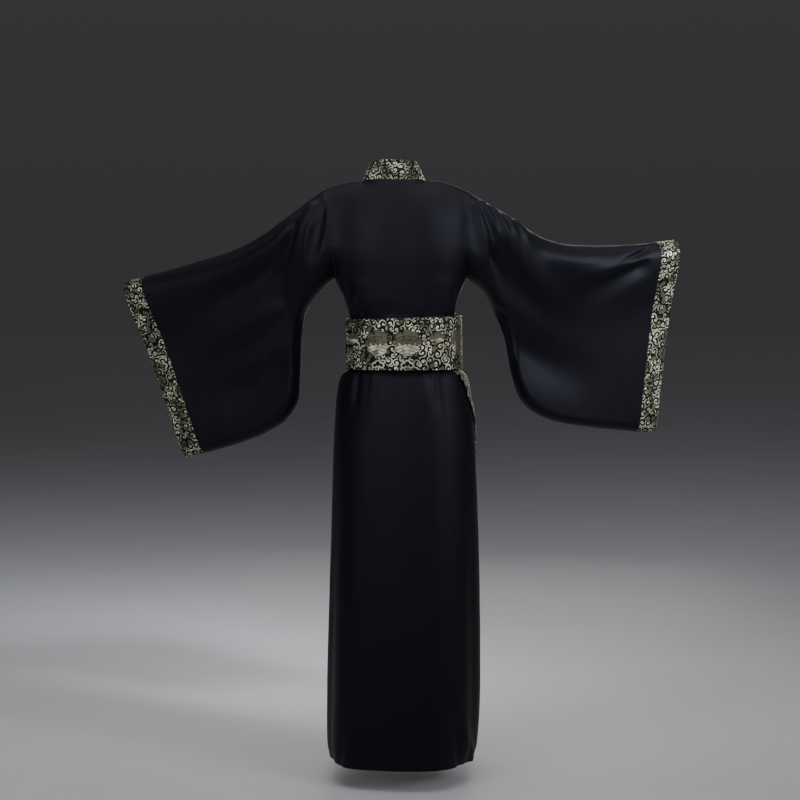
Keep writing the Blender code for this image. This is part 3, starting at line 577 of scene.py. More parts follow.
def neck_rows(arm):
    """The collar's rows round the back of the neck, from the side to the middle."""
    side, middle = angle_at([arm * NECK_HALF_WIDTH, 0.0], 0.0)
    seam = body_points(BACK, np.linspace(side, middle, NECK_COLUMNS + 1), 0.0)
    top = collar_top(arm, np.linspace(1.0, 0.0, NECK_COLUMNS + 1))
    share = np.linspace(0.0, 1.0, BAND_COLUMNS + 1)[None, :, None]
    return blend(seam[:, None], top[:, None], share)


def front_band_rows(arm):
    """The band's rows down a front, from its seam to its free edge, below the neck."""
    levels = body_levels()
    before, level, after = levels[:-1], levels[1:], np.append(levels[2:], levels[-1])
    angle = edge_angle(arm, level)
    path = front_points(arm, edge_angle(arm, after), after)
    path -= front_points(arm, edge_angle(arm, before), before)
    round_it, rise = body_slopes(FRONT, angle, level)
    sideways = normalised(np.cross(path, body_outward(FRONT, angle, level))) * arm
    square_turn = dotted(sideways, round_it) / dotted(round_it, round_it)
    level_turn = 1.0 / dotted(sideways, round_it)
    tilted = smoothstep((level - BELT_BOTTOM) / (BELT_TOP - BELT_BOTTOM))
    turn = BAND_WIDTH * blend(level_turn, square_turn, tilted)
    climb = BAND_WIDTH * tilted * dotted(sideways, rise) / dotted(rise, rise)
    lying = smoothstep((LYING_START - level) / LYING_OVER)[:, None, None]
    share = np.linspace(0.0, 1.0, BAND_COLUMNS + 1)[None, :]
    reached = np.minimum(level[:, None] + climb[:, None] * share, -BELOW_NECK)
    on_body = front_points(arm, angle[:, None] + turn[:, None] * share, reached)
    side_of_neck = body_points(BACK, angle_at(arm * NECK_HALF_WIDTH, 0.0), 0.0)
    stand = (collar_top(arm, 1.0) - side_of_neck) * share[..., None]
    return blend(front_points(arm, angle, level)[:, None] + stand, on_body, lying)


def sleeve_rings(arm, stations):
    """Rings of a sleeve, from its lower seam up the back layer and down the front one."""
    downs = upper_levels() / UNDERARM
    down = np.concatenate([downs[::-1], downs[1:]])
    side = np.concatenate([np.full(len(downs), BACK), np.full(len(downs) - 1, FRONT)])
    return sleeve_points(arm, np.asarray(stations)[:, None], side[None, :], down[None, :])


def belt_grid():
    """Columns up the belt, from its inner end once round the waist and on to its outer end."""
    turned = np.linspace(0.0, BELT_TURN, BELT_COLUMNS + 1)[:, None]
    height = np.linspace(0.0, 1.0, BELT_ROWS + 1)[None, :]
    angle = np.radians(BELT_INNER_START - turned)
    cosine, sine = np.cos(angle), np.sin(angle)
    reach = (np.abs(cosine) ** BELT_SQUARE + np.abs(sine) ** BELT_SQUARE) ** (-1 / BELT_SQUARE)
    lap = BELT_LAP * smoothstep((turned - BELT_TURN + BELT_LAP_REACH) / BELT_LAP_STEP)
    depth = np.where(sine > 0, BELT_BACK, BELT_FRONT)
    splay = BELT_SPLAY * (1 - height)
    x = BELT_CENTRE + (BELT_HALF_WIDTH + splay + lap) * cosine * reach
    y = (depth + splay + lap) * sine * reach
    z = blend(BELT_BOTTOM, BELT_TOP - BELT_TOP_TILT * cosine, height)
    return np.stack([x, y, z], axis=-1)


# ---------------------------------------------------------------- creasing the cloth


class Cloth:
    """A piece of cloth: a grid of points on the robe's form, and the way out at each.

    `along` and `across` are each point's place on the flat cloth. A strip is as even as its
    cut. Wider cloth is measured across from its middle column, which may lie between two.
    """

    def __init__(self, points, outward, middle=None):
        self.points = points
        ring = np.allclose(points[:, 0], points[:, -1], atol=1e-6)
        rows = np.gradient(points, axis=0)
        columns = np.gradient(points, axis=1)
        if ring:
            turn = (points[:, 1] - points[:, -2]) / 2
            columns[:, 0] = columns[:, -1] = turn
        self.ring = ring
        self.ways = normalised(np.cross(rows, columns)) * outward
        self.along = np.broadcast_to(lengths(rows).mean(axis=1, keepdims=True), rows.shape[:2])
        self.across = lengths(columns.swapaxes(0, 1)).T
        if middle is None:
            self.across = np.broadcast_to(self.across.mean(axis=0), self.across.shape)
        else:
            counted = np.arange(points.shape[1])
            at = np.broadcast_to(middle, points.shape[:1])
            zero = [np.interp(m, counted, row) for m, row in zip(at, self.across)]
            self.across = self.across - np.array(zero)[:, None]

    def rim(self):
        rim = np.zeros(self.points.shape[:2], bool)
        rim[[0, -1]] = True
        if not self.ring:
            rim[:, [0, -1]] = True
        return rim


def lengths(steps):
    """Distances from the first row of a grid, given the step at each of its points."""
    size = np.linalg.norm(steps, axis=-1)
    return np.concatenate([np.zeros_like(size[:1]), np.cumsum((size[1:] + size[:-1]) / 2, axis=0)])


SEAM_STEPS = 10000  # to the metre. Points on the same step are sewn together.


def share_ways(cloths):
    """Where pieces are sewn together, they are pushed in and out alike."""
    meeting = {}
    for cloth in cloths:
        for i, j in np.argwhere(cloth.rim()):
            place = tuple(np.round(cloth.points[i, j] * SEAM_STEPS).astype(int))
            meeting.setdefault(place, []).append((cloth, i, j))
    for found in meeting.values():
        shared = sum(cloth.ways[i, j] for cloth, i, j in found)
        for cloth, i, j in found:
            cloth.ways[i, j] = normalised(shared)


def square_shoulder_seam(cloth):
    """Turns the way out along a panel's top square to the shoulder seam."""
    x = cloth.points[0, :, 0]
    fall = 2 * SHOULDER_FALL * (np.abs(x) - NECK_HALF_WIDTH) * np.sign(x)
    square = normalised(np.stack([fall, np.zeros_like(x), np.ones_like(x)], axis=-1))
    on_shoulder = np.abs(x) >= NECK_HALF_WIDTH
    cloth.ways[0] = np.where(on_shoulder[:, None], square, cloth.ways[0])


def beside_line(line, places):
    """How far places are off a line, below 0 on its one side, and what share along it they are."""
    off = np.full(len(places), np.inf)
    along = np.zeros(len(places))
    for k, (a, b) in enumerate(zip(line, line[1:])):
        run = b - a
        apart = places - a
        share = np.clip((apart @ run) / (run @ run), 0.0, 1.0)
        distance = np.linalg.norm(apart - share[:, None] * run, axis=-1)
        side = np.sign(apart[:, 1] * run[0] - apart[:, 0] * run[1])
        closer = distance < np.abs(off)
        off = np.where(closer, distance * np.where(side < 0, -1.0, 1.0), off)
        along = np.where(closer, (k + share) / (len(line) - 1), along)
    return off, along


def crease_height(crease, x, z):
    """How far one crease pushes the cloth out."""
    t = np.linspace(0.0, 1.0, CREASE_STEPS)[:, None]
    start, middle, end = (np.array(p) for p in crease[:3])
    bend = 2 * middle - (start + end) / 2
    line = (1 - t) ** 2 * start + 2 * t * (1 - t) * bend + t**2 * end
    reach = CREASE_REACH * crease.width
    low, high = line.min(axis=0) - reach, line.max(axis=0) + reach
    near = (x > low[0]) & (x < high[0]) & (z > low[1]) & (z < high[1])
    height = np.zeros_like(x)
    if not near.any():
        return height
    off, along = beside_line(line, np.stack([x[near], z[near]], axis=-1))
    lean = abs(crease.lean)
    off = off / (crease.width * blend(START_WIDTH, END_WIDTH, along))
    off = -off if crease.lean < 0 else off
    breadth = np.where(off > 0, 1.0 - STEEP_SIDE * lean, 1.0 + GENTLE_SIDE * lean)
    fold = np.exp(-((off / breadth) ** 2))
    fold -= UNDERCUT * lean * np.exp(-(((off - UNDERCUT_PLACE) / UNDERCUT_WIDTH) ** 2))
    fade = smoothstep(along / START_FADE) * smoothstep((1.0 - along) / END_FADE)
    height[near] = crease.depth * fade * fold
    return height


def moved(crease):
    """The same crease on the front layer, a little aside and shallower."""
    points = [tuple(np.add(p, FRONT_SHIFT)) for p in crease[:3]]
    return Crease(*points, crease.width, crease.depth * FRONT_SHARE, crease.lean)


def crease_cloth(cloth, strength):
    """Pushes the cloth in and out along its folds, on the back layer and on the front one."""
    x, _, z = np.moveaxis(cloth.points, -1, 0)
    back = smoothstep((cloth.ways[..., 1] - SEAM_HOLD) / (1 - SEAM_HOLD) / FOLDS_FROM)
    front = smoothstep((-cloth.ways[..., 1] - SEAM_HOLD) / (1 - SEAM_HOLD) / FOLDS_FROM)
    behind = RIGHT_ARMHOLE + LEFT_ARMHOLE + RIGHT_SLEEVE + LEFT_SLEEVE
    height = sum(crease_height(c, x, z) * back for c in behind + BACK_OF_BODY)
    before = tuple(moved(c) for c in behind) + FRONT_OF_BODY
    height = height + sum(crease_height(c, x, z) * front for c in before)
    for size, scale in UNEVENNESS:
        places = (cloth.points * scale).reshape(-1, 3)
        waves = np.array([noise.noise(place) for place in places.tolist()])
        height = height + size * waves.reshape(x.shape)
    in_belt = smoothstep((z - BELT_BOTTOM + BELT_HOLD) / BELT_HOLD)
    in_belt = in_belt * smoothstep((BELT_TOP + BELT_HOLD - z) / BELT_HOLD)
    at_waist = np.abs(x - BELT_CENTRE) < BELT_HALF_WIDTH + BELT_CLEARANCE
    height = height * (1.0 - in_belt * at_waist)
    cloth.points = cloth.points + cloth.ways * (height * strength)[..., None]


def cut_side(arm, levels):
    """The front panel, the sleeve's two layers and the cuff of one side."""
    name, seam, columns = ARM_NAMES[arm], SIDE_SEAMS[arm], FRONT_COLUMNS[arm]
    edge = edge_angle(arm, levels)
    angles = blend(seam, edge[:, None], np.linspace(0.0, 1.0, columns + 1)[None, :])
    panel = front_points(arm, angles, np.broadcast_to(levels[:, None], angles.shape))
    middle = (90.0 - seam) / (edge - seam) * columns
    sleeve = sleeve_rings(arm, divided(0.0, SLEEVE_ROWS))
    cuff = sleeve_rings(arm, np.linspace(1.0, CUFF_END, CUFF_ROWS + 1))
    top = UPPER_ROWS
    return {
        f"{name}_front": Cloth(panel, -arm, middle=middle),
        f"{name}_sleeve_back": Cloth(sleeve[:, : top + 1], -arm, middle=top),
        f"{name}_sleeve_front": Cloth(sleeve[:, top:], -arm, middle=0),
        f"{name}_cuff": Cloth(cuff, -arm),
    }


def cut_bands(levels):
    """The collar band, in one strip round the neck, and the two that go on from it to the hem."""
    join = np.argmin(np.abs(levels[1:] - BAND_JOIN))
    left, right = front_band_rows(LEFT), front_band_rows(RIGHT)
    rows = (left[join::-1], neck_rows(LEFT), neck_rows(RIGHT)[-2::-1], right[: join + 1])
    return {
        "collar_band": Cloth(np.concatenate(rows), 1),
        "left_skirt_band": Cloth(left[: join - 1 : -1], 1),
        "right_skirt_band": Cloth(right[join:], 1),
    }


def cut_belt():
    """The belt, which gives only at the back."""
    belt = Cloth(belt_grid(), -1)
    x, y, z = np.moveaxis(belt.points, -1, 0)
    dent = sum(crease_height(c, x, z) for c in BELT_DENTS) * (y > 0)
    belt.points = belt.points + belt.ways * dent[..., None]
    return belt


@functools.cache
def robe_cloths(strength):
    """Every piece of the robe's cloth, creased, with the seams still meeting."""
    levels = body_levels()
    back = body_points(BACK, back_angles()[None, :], levels[:, None])
    cloths = {"back_panel": Cloth(back, 1, middle=SHOULDER_COLUMNS + NECK_COLUMNS)}
    cloths |= cut_side(LEFT, levels) | cut_side(RIGHT, levels) | cut_bands(levels)
    for name in ("back_panel", "left_front", "right_front"):
        square_shoulder_seam(cloths[name])
    share_ways(cloths.values())
    for cloth in cloths.values():
        crease_cloth(cloth, strength)
    return cloths | {"belt": cut_belt()}


def in_scene(name, data):
    made = bpy.data.objects.new(name, data)
    bpy.context.scene.collection.objects.link(made)
    return made


def finished(name, mesh, material):
    """A piece of the scene, made of a mesh and its material."""
    data = bpy.data.meshes.new(name)
    mesh.to_mesh(data)
    mesh.free()
    data.materials.append(material)
    return in_scene(name, data)


def sew(name, cloth, wall, material):
    """Lays a grid of cloth onto its form and gives it its thickness."""
    rows, columns = cloth.points.shape[:2]
    mesh = bmesh.new()
    bmesh.ops.create_grid(mesh, x_segments=columns - 1, y_segments=rows - 1, size=0.5)
    mesh.verts.ensure_lookup_table()
    row_of, column_of = (mesh.verts.layers.int.new(count) for count in ("row", "column"))
    for vert in mesh.verts:
        vert[row_of] = round((vert.co.y + 0.5) * (rows - 1))
        vert[column_of] = round((vert.co.x + 0.5) * (columns - 1))
        vert.co = cloth.points[vert[row_of], vert[column_of]]
    layer = mesh.loops.layers.uv.new("cloth")
    for face in mesh.faces:
        for loop in face.loops:
            place = loop.vert[row_of], loop.vert[column_of]
            loop[layer].uv = (cloth.along[place], cloth.across[place])
    if cloth.ring:
        bmesh.ops.remove_doubles(mesh, verts=mesh.verts, dist=SAME_PLACE)

    # The outer face of the cloth stands off the form by the wall's thickness
    outer = bmesh.ops.extrude_face_region(mesh, geom=mesh.faces[:], use_keep_orig=True)
    for vert in outer["geom"]:
        if isinstance(vert, bmesh.types.BMVert):
            vert.co += Vector(cloth.ways[vert[row_of], vert[column_of]]) * wall
    bmesh.ops.recalc_face_normals(mesh, faces=mesh.faces)
    for count in ("row", "column"):
        mesh.verts.layers.int.remove(mesh.verts.layers.int[count])
    piece = finished(name, mesh, material)
    piece.data.shade_smooth()
    piece.data.set_sharp_from_angle(angle=SHARP_EDGE)
    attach(piece, "root")
    return piece


# ---------------------------------------------------------------- colours and materials


def linear(hex_colour):
    """An sRGB hex colour as linear red, green and blue, with full alpha."""
    channels = [int(hex_colour[i : i + 2], 16) / 255 for i in (1, 3, 5)]
    bent = [c / 12.92 if c <= 0.04045 else ((c + 0.055) / 1.055) ** 2.4 for c in channels]
    return (*bent, 1.0)


def plug(tree, value, socket):
    """Sets a socket to a value, or links it to another socket or to a node's first output."""
    if isinstance(value, bpy.types.Node):
        value = value.outputs[0]
    if isinstance(value, bpy.types.NodeSocket):
        tree.links.new(value, socket)
    else:
        socket.default_value = value


def add_node(tree, kind, inputs=(), **settings):
    """Adds a shader node with its settings and plugs its inputs in, by their order or by key."""
    made = tree.nodes.new("ShaderNode" + kind)
    for name, value in settings.items():
        setattr(made, name, value)
    for key, value in inputs.items() if isinstance(inputs, dict) else enumerate(inputs):
        plug(tree, value, made.inputs[key])
    return made


def new_material(name):
    material = bpy.data.materials.new(name)
    material.use_nodes = True
    return material, functools.partial(add_node, material.node_tree)


def set_shader(material, **sockets):
    """Plugs in the shader's sockets. An underscore stands for a space in a socket's name."""
    shader = material.node_tree.nodes["Principled BSDF"]
    for name, value in sockets.items():
        plug(material.node_tree, value, shader.inputs[name.replace("_", " ")])


MM = 1000.0  # millimetres in a metre
NOISE_SPREAD = (0.3, 0.7)  # nearly all of a noise's values lie between these

SATIN_RIB = 1.4  # mm. The real ribs are 0.3 mm apart, too fine to show, so they are drawn coarser.
SATIN_RIB_SLANT = 0.35  # how far a rib moves across the cloth for each step along it
STREAKS_PER_MM = (0.02, 0.45, 1.0)  # long floats along the cloth, 50 mm by 2 mm
STREAK_TINT = (0.86, 1.16)
PATCH_SIZE = 70.0  # mm
PATCH_TINT = (0.90, 1.12)
SATIN_ROUGHNESS = (0.52, 0.60)
PUCKER_SIZE = 16.0  # mm
SATIN_RIB_SHARE = 0.05  # height of the ribs as a share of the puckers'
HEM_STITCH_LEVEL = HEM + 0.022
HEM_THREAD = (0.0006, 0.0012)  # metres from the thread's middle over which it fades
STITCH_LENGTH = 4.0  # mm
STITCH_SHOWN = 0.72  # share of a stitch that lies on the outside
STITCH_SINK = -0.5  # height of a stitch against the puckers', below 0 as it pulls in

SOFT = 0.25  # mm over which a woven figure's edge fades
THREAD_RIB = 1.3  # mm. The real threads are 0.4 mm apart, too fine to show, so drawn coarser.
# Painted shade: the thread is painted darker in the troughs between its ribs and paler on their
# crests.
THREAD_RIB_SHADE = (0.82, 1.10)
THREAD_RIB_SHARE = 0.10  # height of the ribs as a share of the figure's
DRIFT_SIZE, DRIFT_REACH = 26.0, 9.0  # mm. The scrolls wander, so that no two are alike.
# Painted sheen: in patches of this size the figure's thread is painted pale where it would glint
# and olive where it would lie dull.
GLINT_PATCH_SIZE = 34.0  # mm
GLINT_SPREAD = (0.40, 0.62)  # the thread goes from olive to pale over these heights of the noise
BROCADE_ROUGHNESS = (0.56, 0.36)  # of the ground, of the figure
FIGURE_METAL = 0.35  # the figure's thread is only partly foil

CURL_CELL, CURL_PITCH, CURL_LINE = 16.0, 8.0, 2.7  # mm
CURL_STRAY = 0.8  # how unevenly the curls are spread
CELL_RIM = 0.03  # share of a cell over which a curl fades at its border
BULB = CURL_LINE * 0.7  # radius of the bulb that each curl starts from
LEAVES = 0.10  # share of the cells that hold a leaf
LEAF_LENGTH, LEAF_WAIST = CURL_CELL * 0.30, CURL_CELL * 0.20
LEAF_VEIN = (0.3, 0.8)  # mm

PALMETTE_REPEAT = 150.0  # mm along the belt
# A palmette's place along and up the belt and its half sizes are in mm. Then come its lobes in
# half a turn, and their depth as a share of its size.
Palmette = namedtuple("Palmette", "along up half_width half_height lobes scallop")
PALMETTES = (
    Palmette(128.0, 66.0, 35.0, 32.0, 8.5, 0.12),
    Palmette(203.0, 78.0, 22.0, 13.0, 5.5, 0.18),
)
PALMETTE_ROOT = 0.95  # the lobes fan out from this share of the half height below the middle
PALMETTE_RIM = (-0.01, 0.02)  # shares of its half size, inwards, over which its edge fades
COVER_RIM = (-0.07, -0.05)  # the scrolls fade over these, so they stop outside it
LOBE_GAP = (0.04, 0.24)  # heights of a lobe's wave over which the dark line beside it fades
# Painted shade and highlight: above this edge a palmette is painted in the olive thread, for the
# shade on the upper half of a belt crumpled at mid-height, and below it in the pale thread, for the
# light on the lower half.
FAN_EDGE, FAN_SCALLOP = (0.02, 0.10), 0.25  # the olive fan's lower edge, and how far it waves
PETAL_ROW = 9.0  # mm between the rows of small petals in the olive fan
PETAL_GAP, PETAL_BEND = (0.08, 0.22), -0.30  # shares of a row
SERRATION = 8.5  # mm between the steps in the pale part
STEP_GAP, STEP_SLANT = (0.10, 0.24), 0.35  # shares of a step
Lobe = namedtuple("Lobe", "along up radius")  # mm
CLOUD_LOBES = (Lobe(-8.5, 12.0, 6.0), Lobe(8.5, 12.0, 6.0), Lobe(0.0, 16.0, 7.5))
CLOUD_LINE = 3.2  # mm

# The floor's paint. The roller leaves wide, faint patches of slightly darker and paler tint.
MOTTLES_PER_METRE = 3.0
MOTTLE_TINT = (0.98, 1.02)


def make_satin(name, colours):
    """Polyester satin. Long floats along the cloth give broad, soft, stretched highlights."""
    material, add = new_material(name)
    cloth = add("UVMap", uv_map="cloth")
    place = add("VectorMath", {0: cloth, "Scale": MM}, operation="SCALE")
    apart = add("SeparateXYZ", (place,))
    streaked = add("VectorMath", (place, STREAKS_PER_MM), operation="MULTIPLY")
    streaks = add("TexNoise", {"Vector": streaked, "Scale": 1.0, "Detail": 3.0})
    patches = add("TexNoise", {"Vector": place, "Scale": 1 / PATCH_SIZE, "Detail": 2.0})
    puckers = add("TexNoise", {"Vector": place, "Scale": 1 / PUCKER_SIZE, "Detail": 2.0})
    slanted = (apart.outputs[0], SATIN_RIB_SLANT, apart.outputs[1])
    rib = add("Math", slanted, operation="MULTIPLY_ADD")
    rib = add("Math", (rib, math.tau / SATIN_RIB), operation="MULTIPLY")
    rib = add("Math", (rib,), operation="SINE")

    solid = add("TexCoord").outputs["Object"]
    level = add("SeparateXYZ", (solid,)).outputs[2]
    off_hem = add("Math", (level, HEM_STITCH_LEVEL), operation="SUBTRACT")
    off_hem = add("Math", (off_hem,), operation="ABSOLUTE")
    on_hem = add("MapRange", (off_hem, *HEM_THREAD, 1.0, 0.0))
    dash = add("Math", (apart.outputs[1], 1 / STITCH_LENGTH), operation="MULTIPLY")
    dash = add("Math", (dash,), operation="FRACT")
    dash = add("Math", (dash, STITCH_SHOWN), operation="LESS_THAN")
    stitch = add("Math", (on_hem, dash), operation="MULTIPLY")

    tint = add("MapRange", (streaks, *NOISE_SPREAD, *STREAK_TINT))
    shade = add("MapRange", (patches, *NOISE_SPREAD, *PATCH_TINT))
    tint = add("Math", (tint, shade), operation="MULTIPLY")
    dyed = add("VectorMath", {0: tuple(colours.satin), "Scale": tint}, operation="SCALE")
    dyed = add("Mix", {0: stitch, 6: dyed, 7: linear("#1c1c22")}, data_type="RGBA")
    gloss = add("MapRange", (streaks, *NOISE_SPREAD, *SATIN_ROUGHNESS))
    relief = add("Math", (rib, SATIN_RIB_SHARE), operation="MULTIPLY")
    relief = add("Math", (puckers, 1.0, relief), operation="MULTIPLY_ADD")
    relief = add("Math", (stitch, STITCH_SINK, relief), operation="MULTIPLY_ADD")
    bump = add("Bump", {"Height": relief, "Strength": 0.5, "Distance": 0.0006})
    tangent = add("Tangent", direction_type="UV_MAP", uv_map="cloth")
    set_shader(
        material, Base_Color=dyed.outputs[2], Roughness=gloss, Normal=bump, Tangent=tangent,
        Anisotropic=0.35, Specular_IOR_Level=0.22, Specular_Tint=linear("#eaecff"),
        Sheen_Weight=0.02, Sheen_Roughness=0.4, Sheen_Tint=linear("#9aa0b8"),
    )
    return material


def draw_curls(add, place):
    """Woven scrolls: in each cell of the ground a thread winds out from a bulb to its neighbours.

    Gives where they are drawn, and where a cell holds a filled leaf instead.
    """
    settings = {"Vector": place, "Scale": 1 / CURL_CELL, "Randomness": CURL_STRAY}
    cells = add("TexVoronoi", settings, voronoi_dimensions="2D")
    edges = add("TexVoronoi", settings, voronoi_dimensions="2D", feature="DISTANCE_TO_EDGE")
    within = add("MapRange", (edges, 0.0, CELL_RIM))
    offset = add("VectorMath", (place, cells.outputs["Position"]), operation="SUBTRACT")
    radius = add("VectorMath", (offset,), operation="LENGTH").outputs["Value"]
    apart = add("SeparateXYZ", (offset,))
    chance = add("SeparateColor", (cells.outputs["Color"],))

    # Half of the curls wind one way and half the other, each from its own angle
    angle = add("Math", (apart.outputs[1], apart.outputs[0]), operation="ARCTAN2")
    hand = add("Math", (chance.outputs[0], 0.5), operation="GREATER_THAN")
    hand = add("Math", (hand, 2.0 / math.tau, -1.0 / math.tau), operation="MULTIPLY_ADD")
    turned = add("Math", (angle, hand, chance.outputs[1]), operation="MULTIPLY_ADD")
    around = add("Math", (turned,), operation="FRACT")
    wound = add("Math", (radius, 1 / CURL_PITCH), operation="MULTIPLY")
    wound = add("Math", (wound, around), operation="SUBTRACT")
    coil = add("Math", (wound,), operation="ROUND")
    coil = add("Math", (coil, 0.0), operation="MAXIMUM")
    gap = add("Math", (wound, coil), operation="SUBTRACT")
    gap = add("Math", (gap,), operation="ABSOLUTE")
    inside = add("Math", (gap, -CURL_PITCH, CURL_LINE / 2), operation="MULTIPLY_ADD")
    curl = add("MapRange", (inside, -SOFT, SOFT))
    bulb = add("MapRange", (radius, BULB, BULB + 2 * SOFT, 1.0, 0.0))
    curl = add("Math", (curl, bulb), operation="MAXIMUM")

    # A leaf is two lobes end to end, with a dark vein down their length
    is_leaf = add("Math", (chance.outputs[2], LEAVES), operation="LESS_THAN")
    lobed = add("Math", (turned, math.tau), operation="MULTIPLY")
    leaf = add("Math", (lobed,), operation="COSINE")
    leaf = add("Math", (leaf,), operation="ABSOLUTE")
    leaf = add("Math", (leaf, LEAF_LENGTH, LEAF_WAIST), operation="MULTIPLY_ADD")
    leaf = add("Math", (leaf, radius), operation="SUBTRACT")
    leaf = add("MapRange", (leaf, -SOFT, SOFT))
    vein = add("Math", (lobed,), operation="SINE")
    vein = add("Math", (vein, radius), operation="MULTIPLY")
    vein = add("Math", (vein,), operation="ABSOLUTE")
    vein = add("MapRange", (vein, *LEAF_VEIN))
    leaf = add("Math", (leaf, vein), operation="MULTIPLY")
    leaf = add("Math", (leaf, is_leaf), operation="MULTIPLY")
    leaf = add("Math", (leaf, within), operation="MULTIPLY")
    curl = add("Math", (curl, is_leaf), operation="SUBTRACT", use_clamp=True)
    curl = add("Math", (curl, within), operation="MULTIPLY")
    return curl, leaf


def from_motif(add, along, middle):
    """Millimetres along the belt from the nearest repeat of a motif."""
    half_repeat = PALMETTE_REPEAT / 2
    x = add("Math", (along, half_repeat - middle), operation="ADD")
    x = add("Math", (x, PALMETTE_REPEAT), operation="FLOORED_MODULO")
    return add("Math", (x, -half_repeat), operation="ADD")


def draw_palmette(add, along, up, palmette):
    """A lobed flower, whose upper part is an olive fan of petals and lower part pale steps. The
    olive above is painted shade and the pale below painted highlight, as light falls on a belt
    crumpled at mid-height.

    Gives where its pale and its olive thread lies, and where it covers the scrolls.
    """
    x = from_motif(add, along, palmette.along)
    y = add("Math", (up, -palmette.up), operation="ADD")
    across = add("Math", (x, 1 / palmette.half_width), operation="MULTIPLY")
    above = add("Math", (y, 1 / palmette.half_height), operation="MULTIPLY")
    flat = add("CombineXYZ", (across, above, 0.0))
    radius = add("VectorMath", (flat,), operation="LENGTH").outputs["Value"]
    from_root = add("Math", (above, PALMETTE_ROOT), operation="ADD")
    angle = add("Math", (across, from_root), operation="ARCTAN2")
    lobe = add("Math", (angle, palmette.lobes), operation="MULTIPLY")
    lobe = add("Math", (lobe,), operation="COSINE")
    lobe = add("Math", (lobe,), operation="ABSOLUTE")
    scallop = palmette.scallop
    rim = add("Math", (lobe, scallop, 1.0 - scallop), operation="MULTIPLY_ADD")
    inside = add("Math", (rim, radius), operation="SUBTRACT")
    filled = add("MapRange", (inside, *PALMETTE_RIM))

    between = add("MapRange", (lobe, *LOBE_GAP))
    petal = add("CombineXYZ", (across, from_root, 0.0))
    petal = add("VectorMath", (petal,), operation="LENGTH").outputs["Value"]
    petal = add("Math", (petal, palmette.half_height / PETAL_ROW), operation="MULTIPLY")
    petal = add("Math", (lobe, PETAL_BEND, petal), operation="MULTIPLY_ADD")
    petal = add("Math", (petal,), operation="FRACT")
    petal = add("MapRange", (petal, *PETAL_GAP))
    # Painted shade: the fan above the edge is painted in the olive thread.
    upper = add("Math", (lobe, FAN_SCALLOP, above), operation="MULTIPLY_ADD")
    upper = add("MapRange", (upper, *FAN_EDGE))
    fan = add("Math", (filled, between), operation="MULTIPLY")
    fan = add("Math", (fan, petal), operation="MULTIPLY")
    olive = add("Math", (fan, upper), operation="MULTIPLY")

    # Painted highlight: the steps below the edge are painted in the pale thread.
    lower = add("Math", (1.0, upper), operation="SUBTRACT")
    sloped = add("Math", (across,), operation="ABSOLUTE")
    sloped = add("Math", (sloped, STEP_SLANT, above), operation="MULTIPLY_ADD")
    rows = add("Math", (sloped, palmette.half_height / SERRATION), operation="MULTIPLY")
    rows = add("Math", (rows,), operation="FRACT")
    rows = add("MapRange", (rows, *STEP_GAP))
    steps = add("Math", (filled, rows), operation="MULTIPLY")
    pale = add("Math", (steps, lower), operation="MULTIPLY")
    return pale, olive, add("MapRange", (inside, *COVER_RIM))


def draw_cloud(add, along, up):
    """A three-lobed cloud in outline at the belt's lower edge, below each larger palmette.

    Gives where its line lies, and where it covers the scrolls.
    """
    middle = from_motif(add, along, PALMETTES[0].along)
    cloud = None
    for lobe in CLOUD_LOBES:
        x = add("Math", (middle, -lobe.along), operation="ADD")
        y = add("Math", (up, -lobe.up), operation="ADD")
        flat = add("CombineXYZ", (x, y, 0.0))
        off = add("VectorMath", (flat,), operation="LENGTH").outputs["Value"]
        off = add("Math", (off, -lobe.radius), operation="ADD")
        cloud = off if cloud is None else add("Math", (cloud, off), operation="MINIMUM")
    line = add("Math", (cloud,), operation="ABSOLUTE")
    drawn = add("MapRange", (line, CLOUD_LINE / 2, CLOUD_LINE / 2 + 2 * SOFT, 1.0, 0.0))
    return drawn, add("MapRange", (cloud, CLOUD_LINE, CLOUD_LINE + 2 * SOFT, 1.0, 0.0))


def draw_belt_motifs(add, place):
    """The palmettes and clouds together: their pale and olive thread, with the palmettes' painted
    highlight and painted shade, and what they cover.
    """
    apart = add("SeparateXYZ", (place,))
    along, up = apart.outputs[0], apart.outputs[1]
    pale, covered = draw_cloud(add, along, up)
    olive = 0.0
    for palmette in PALMETTES:
        drawn = draw_palmette(add, along, up, palmette)
        pale = add("Math", (pale, drawn[0]), operation="MAXIMUM")
        olive = add("Math", (olive, drawn[1]), operation="MAXIMUM")
        covered = add("Math", (covered, drawn[2]), operation="MAXIMUM")
    return pale, olive, covered


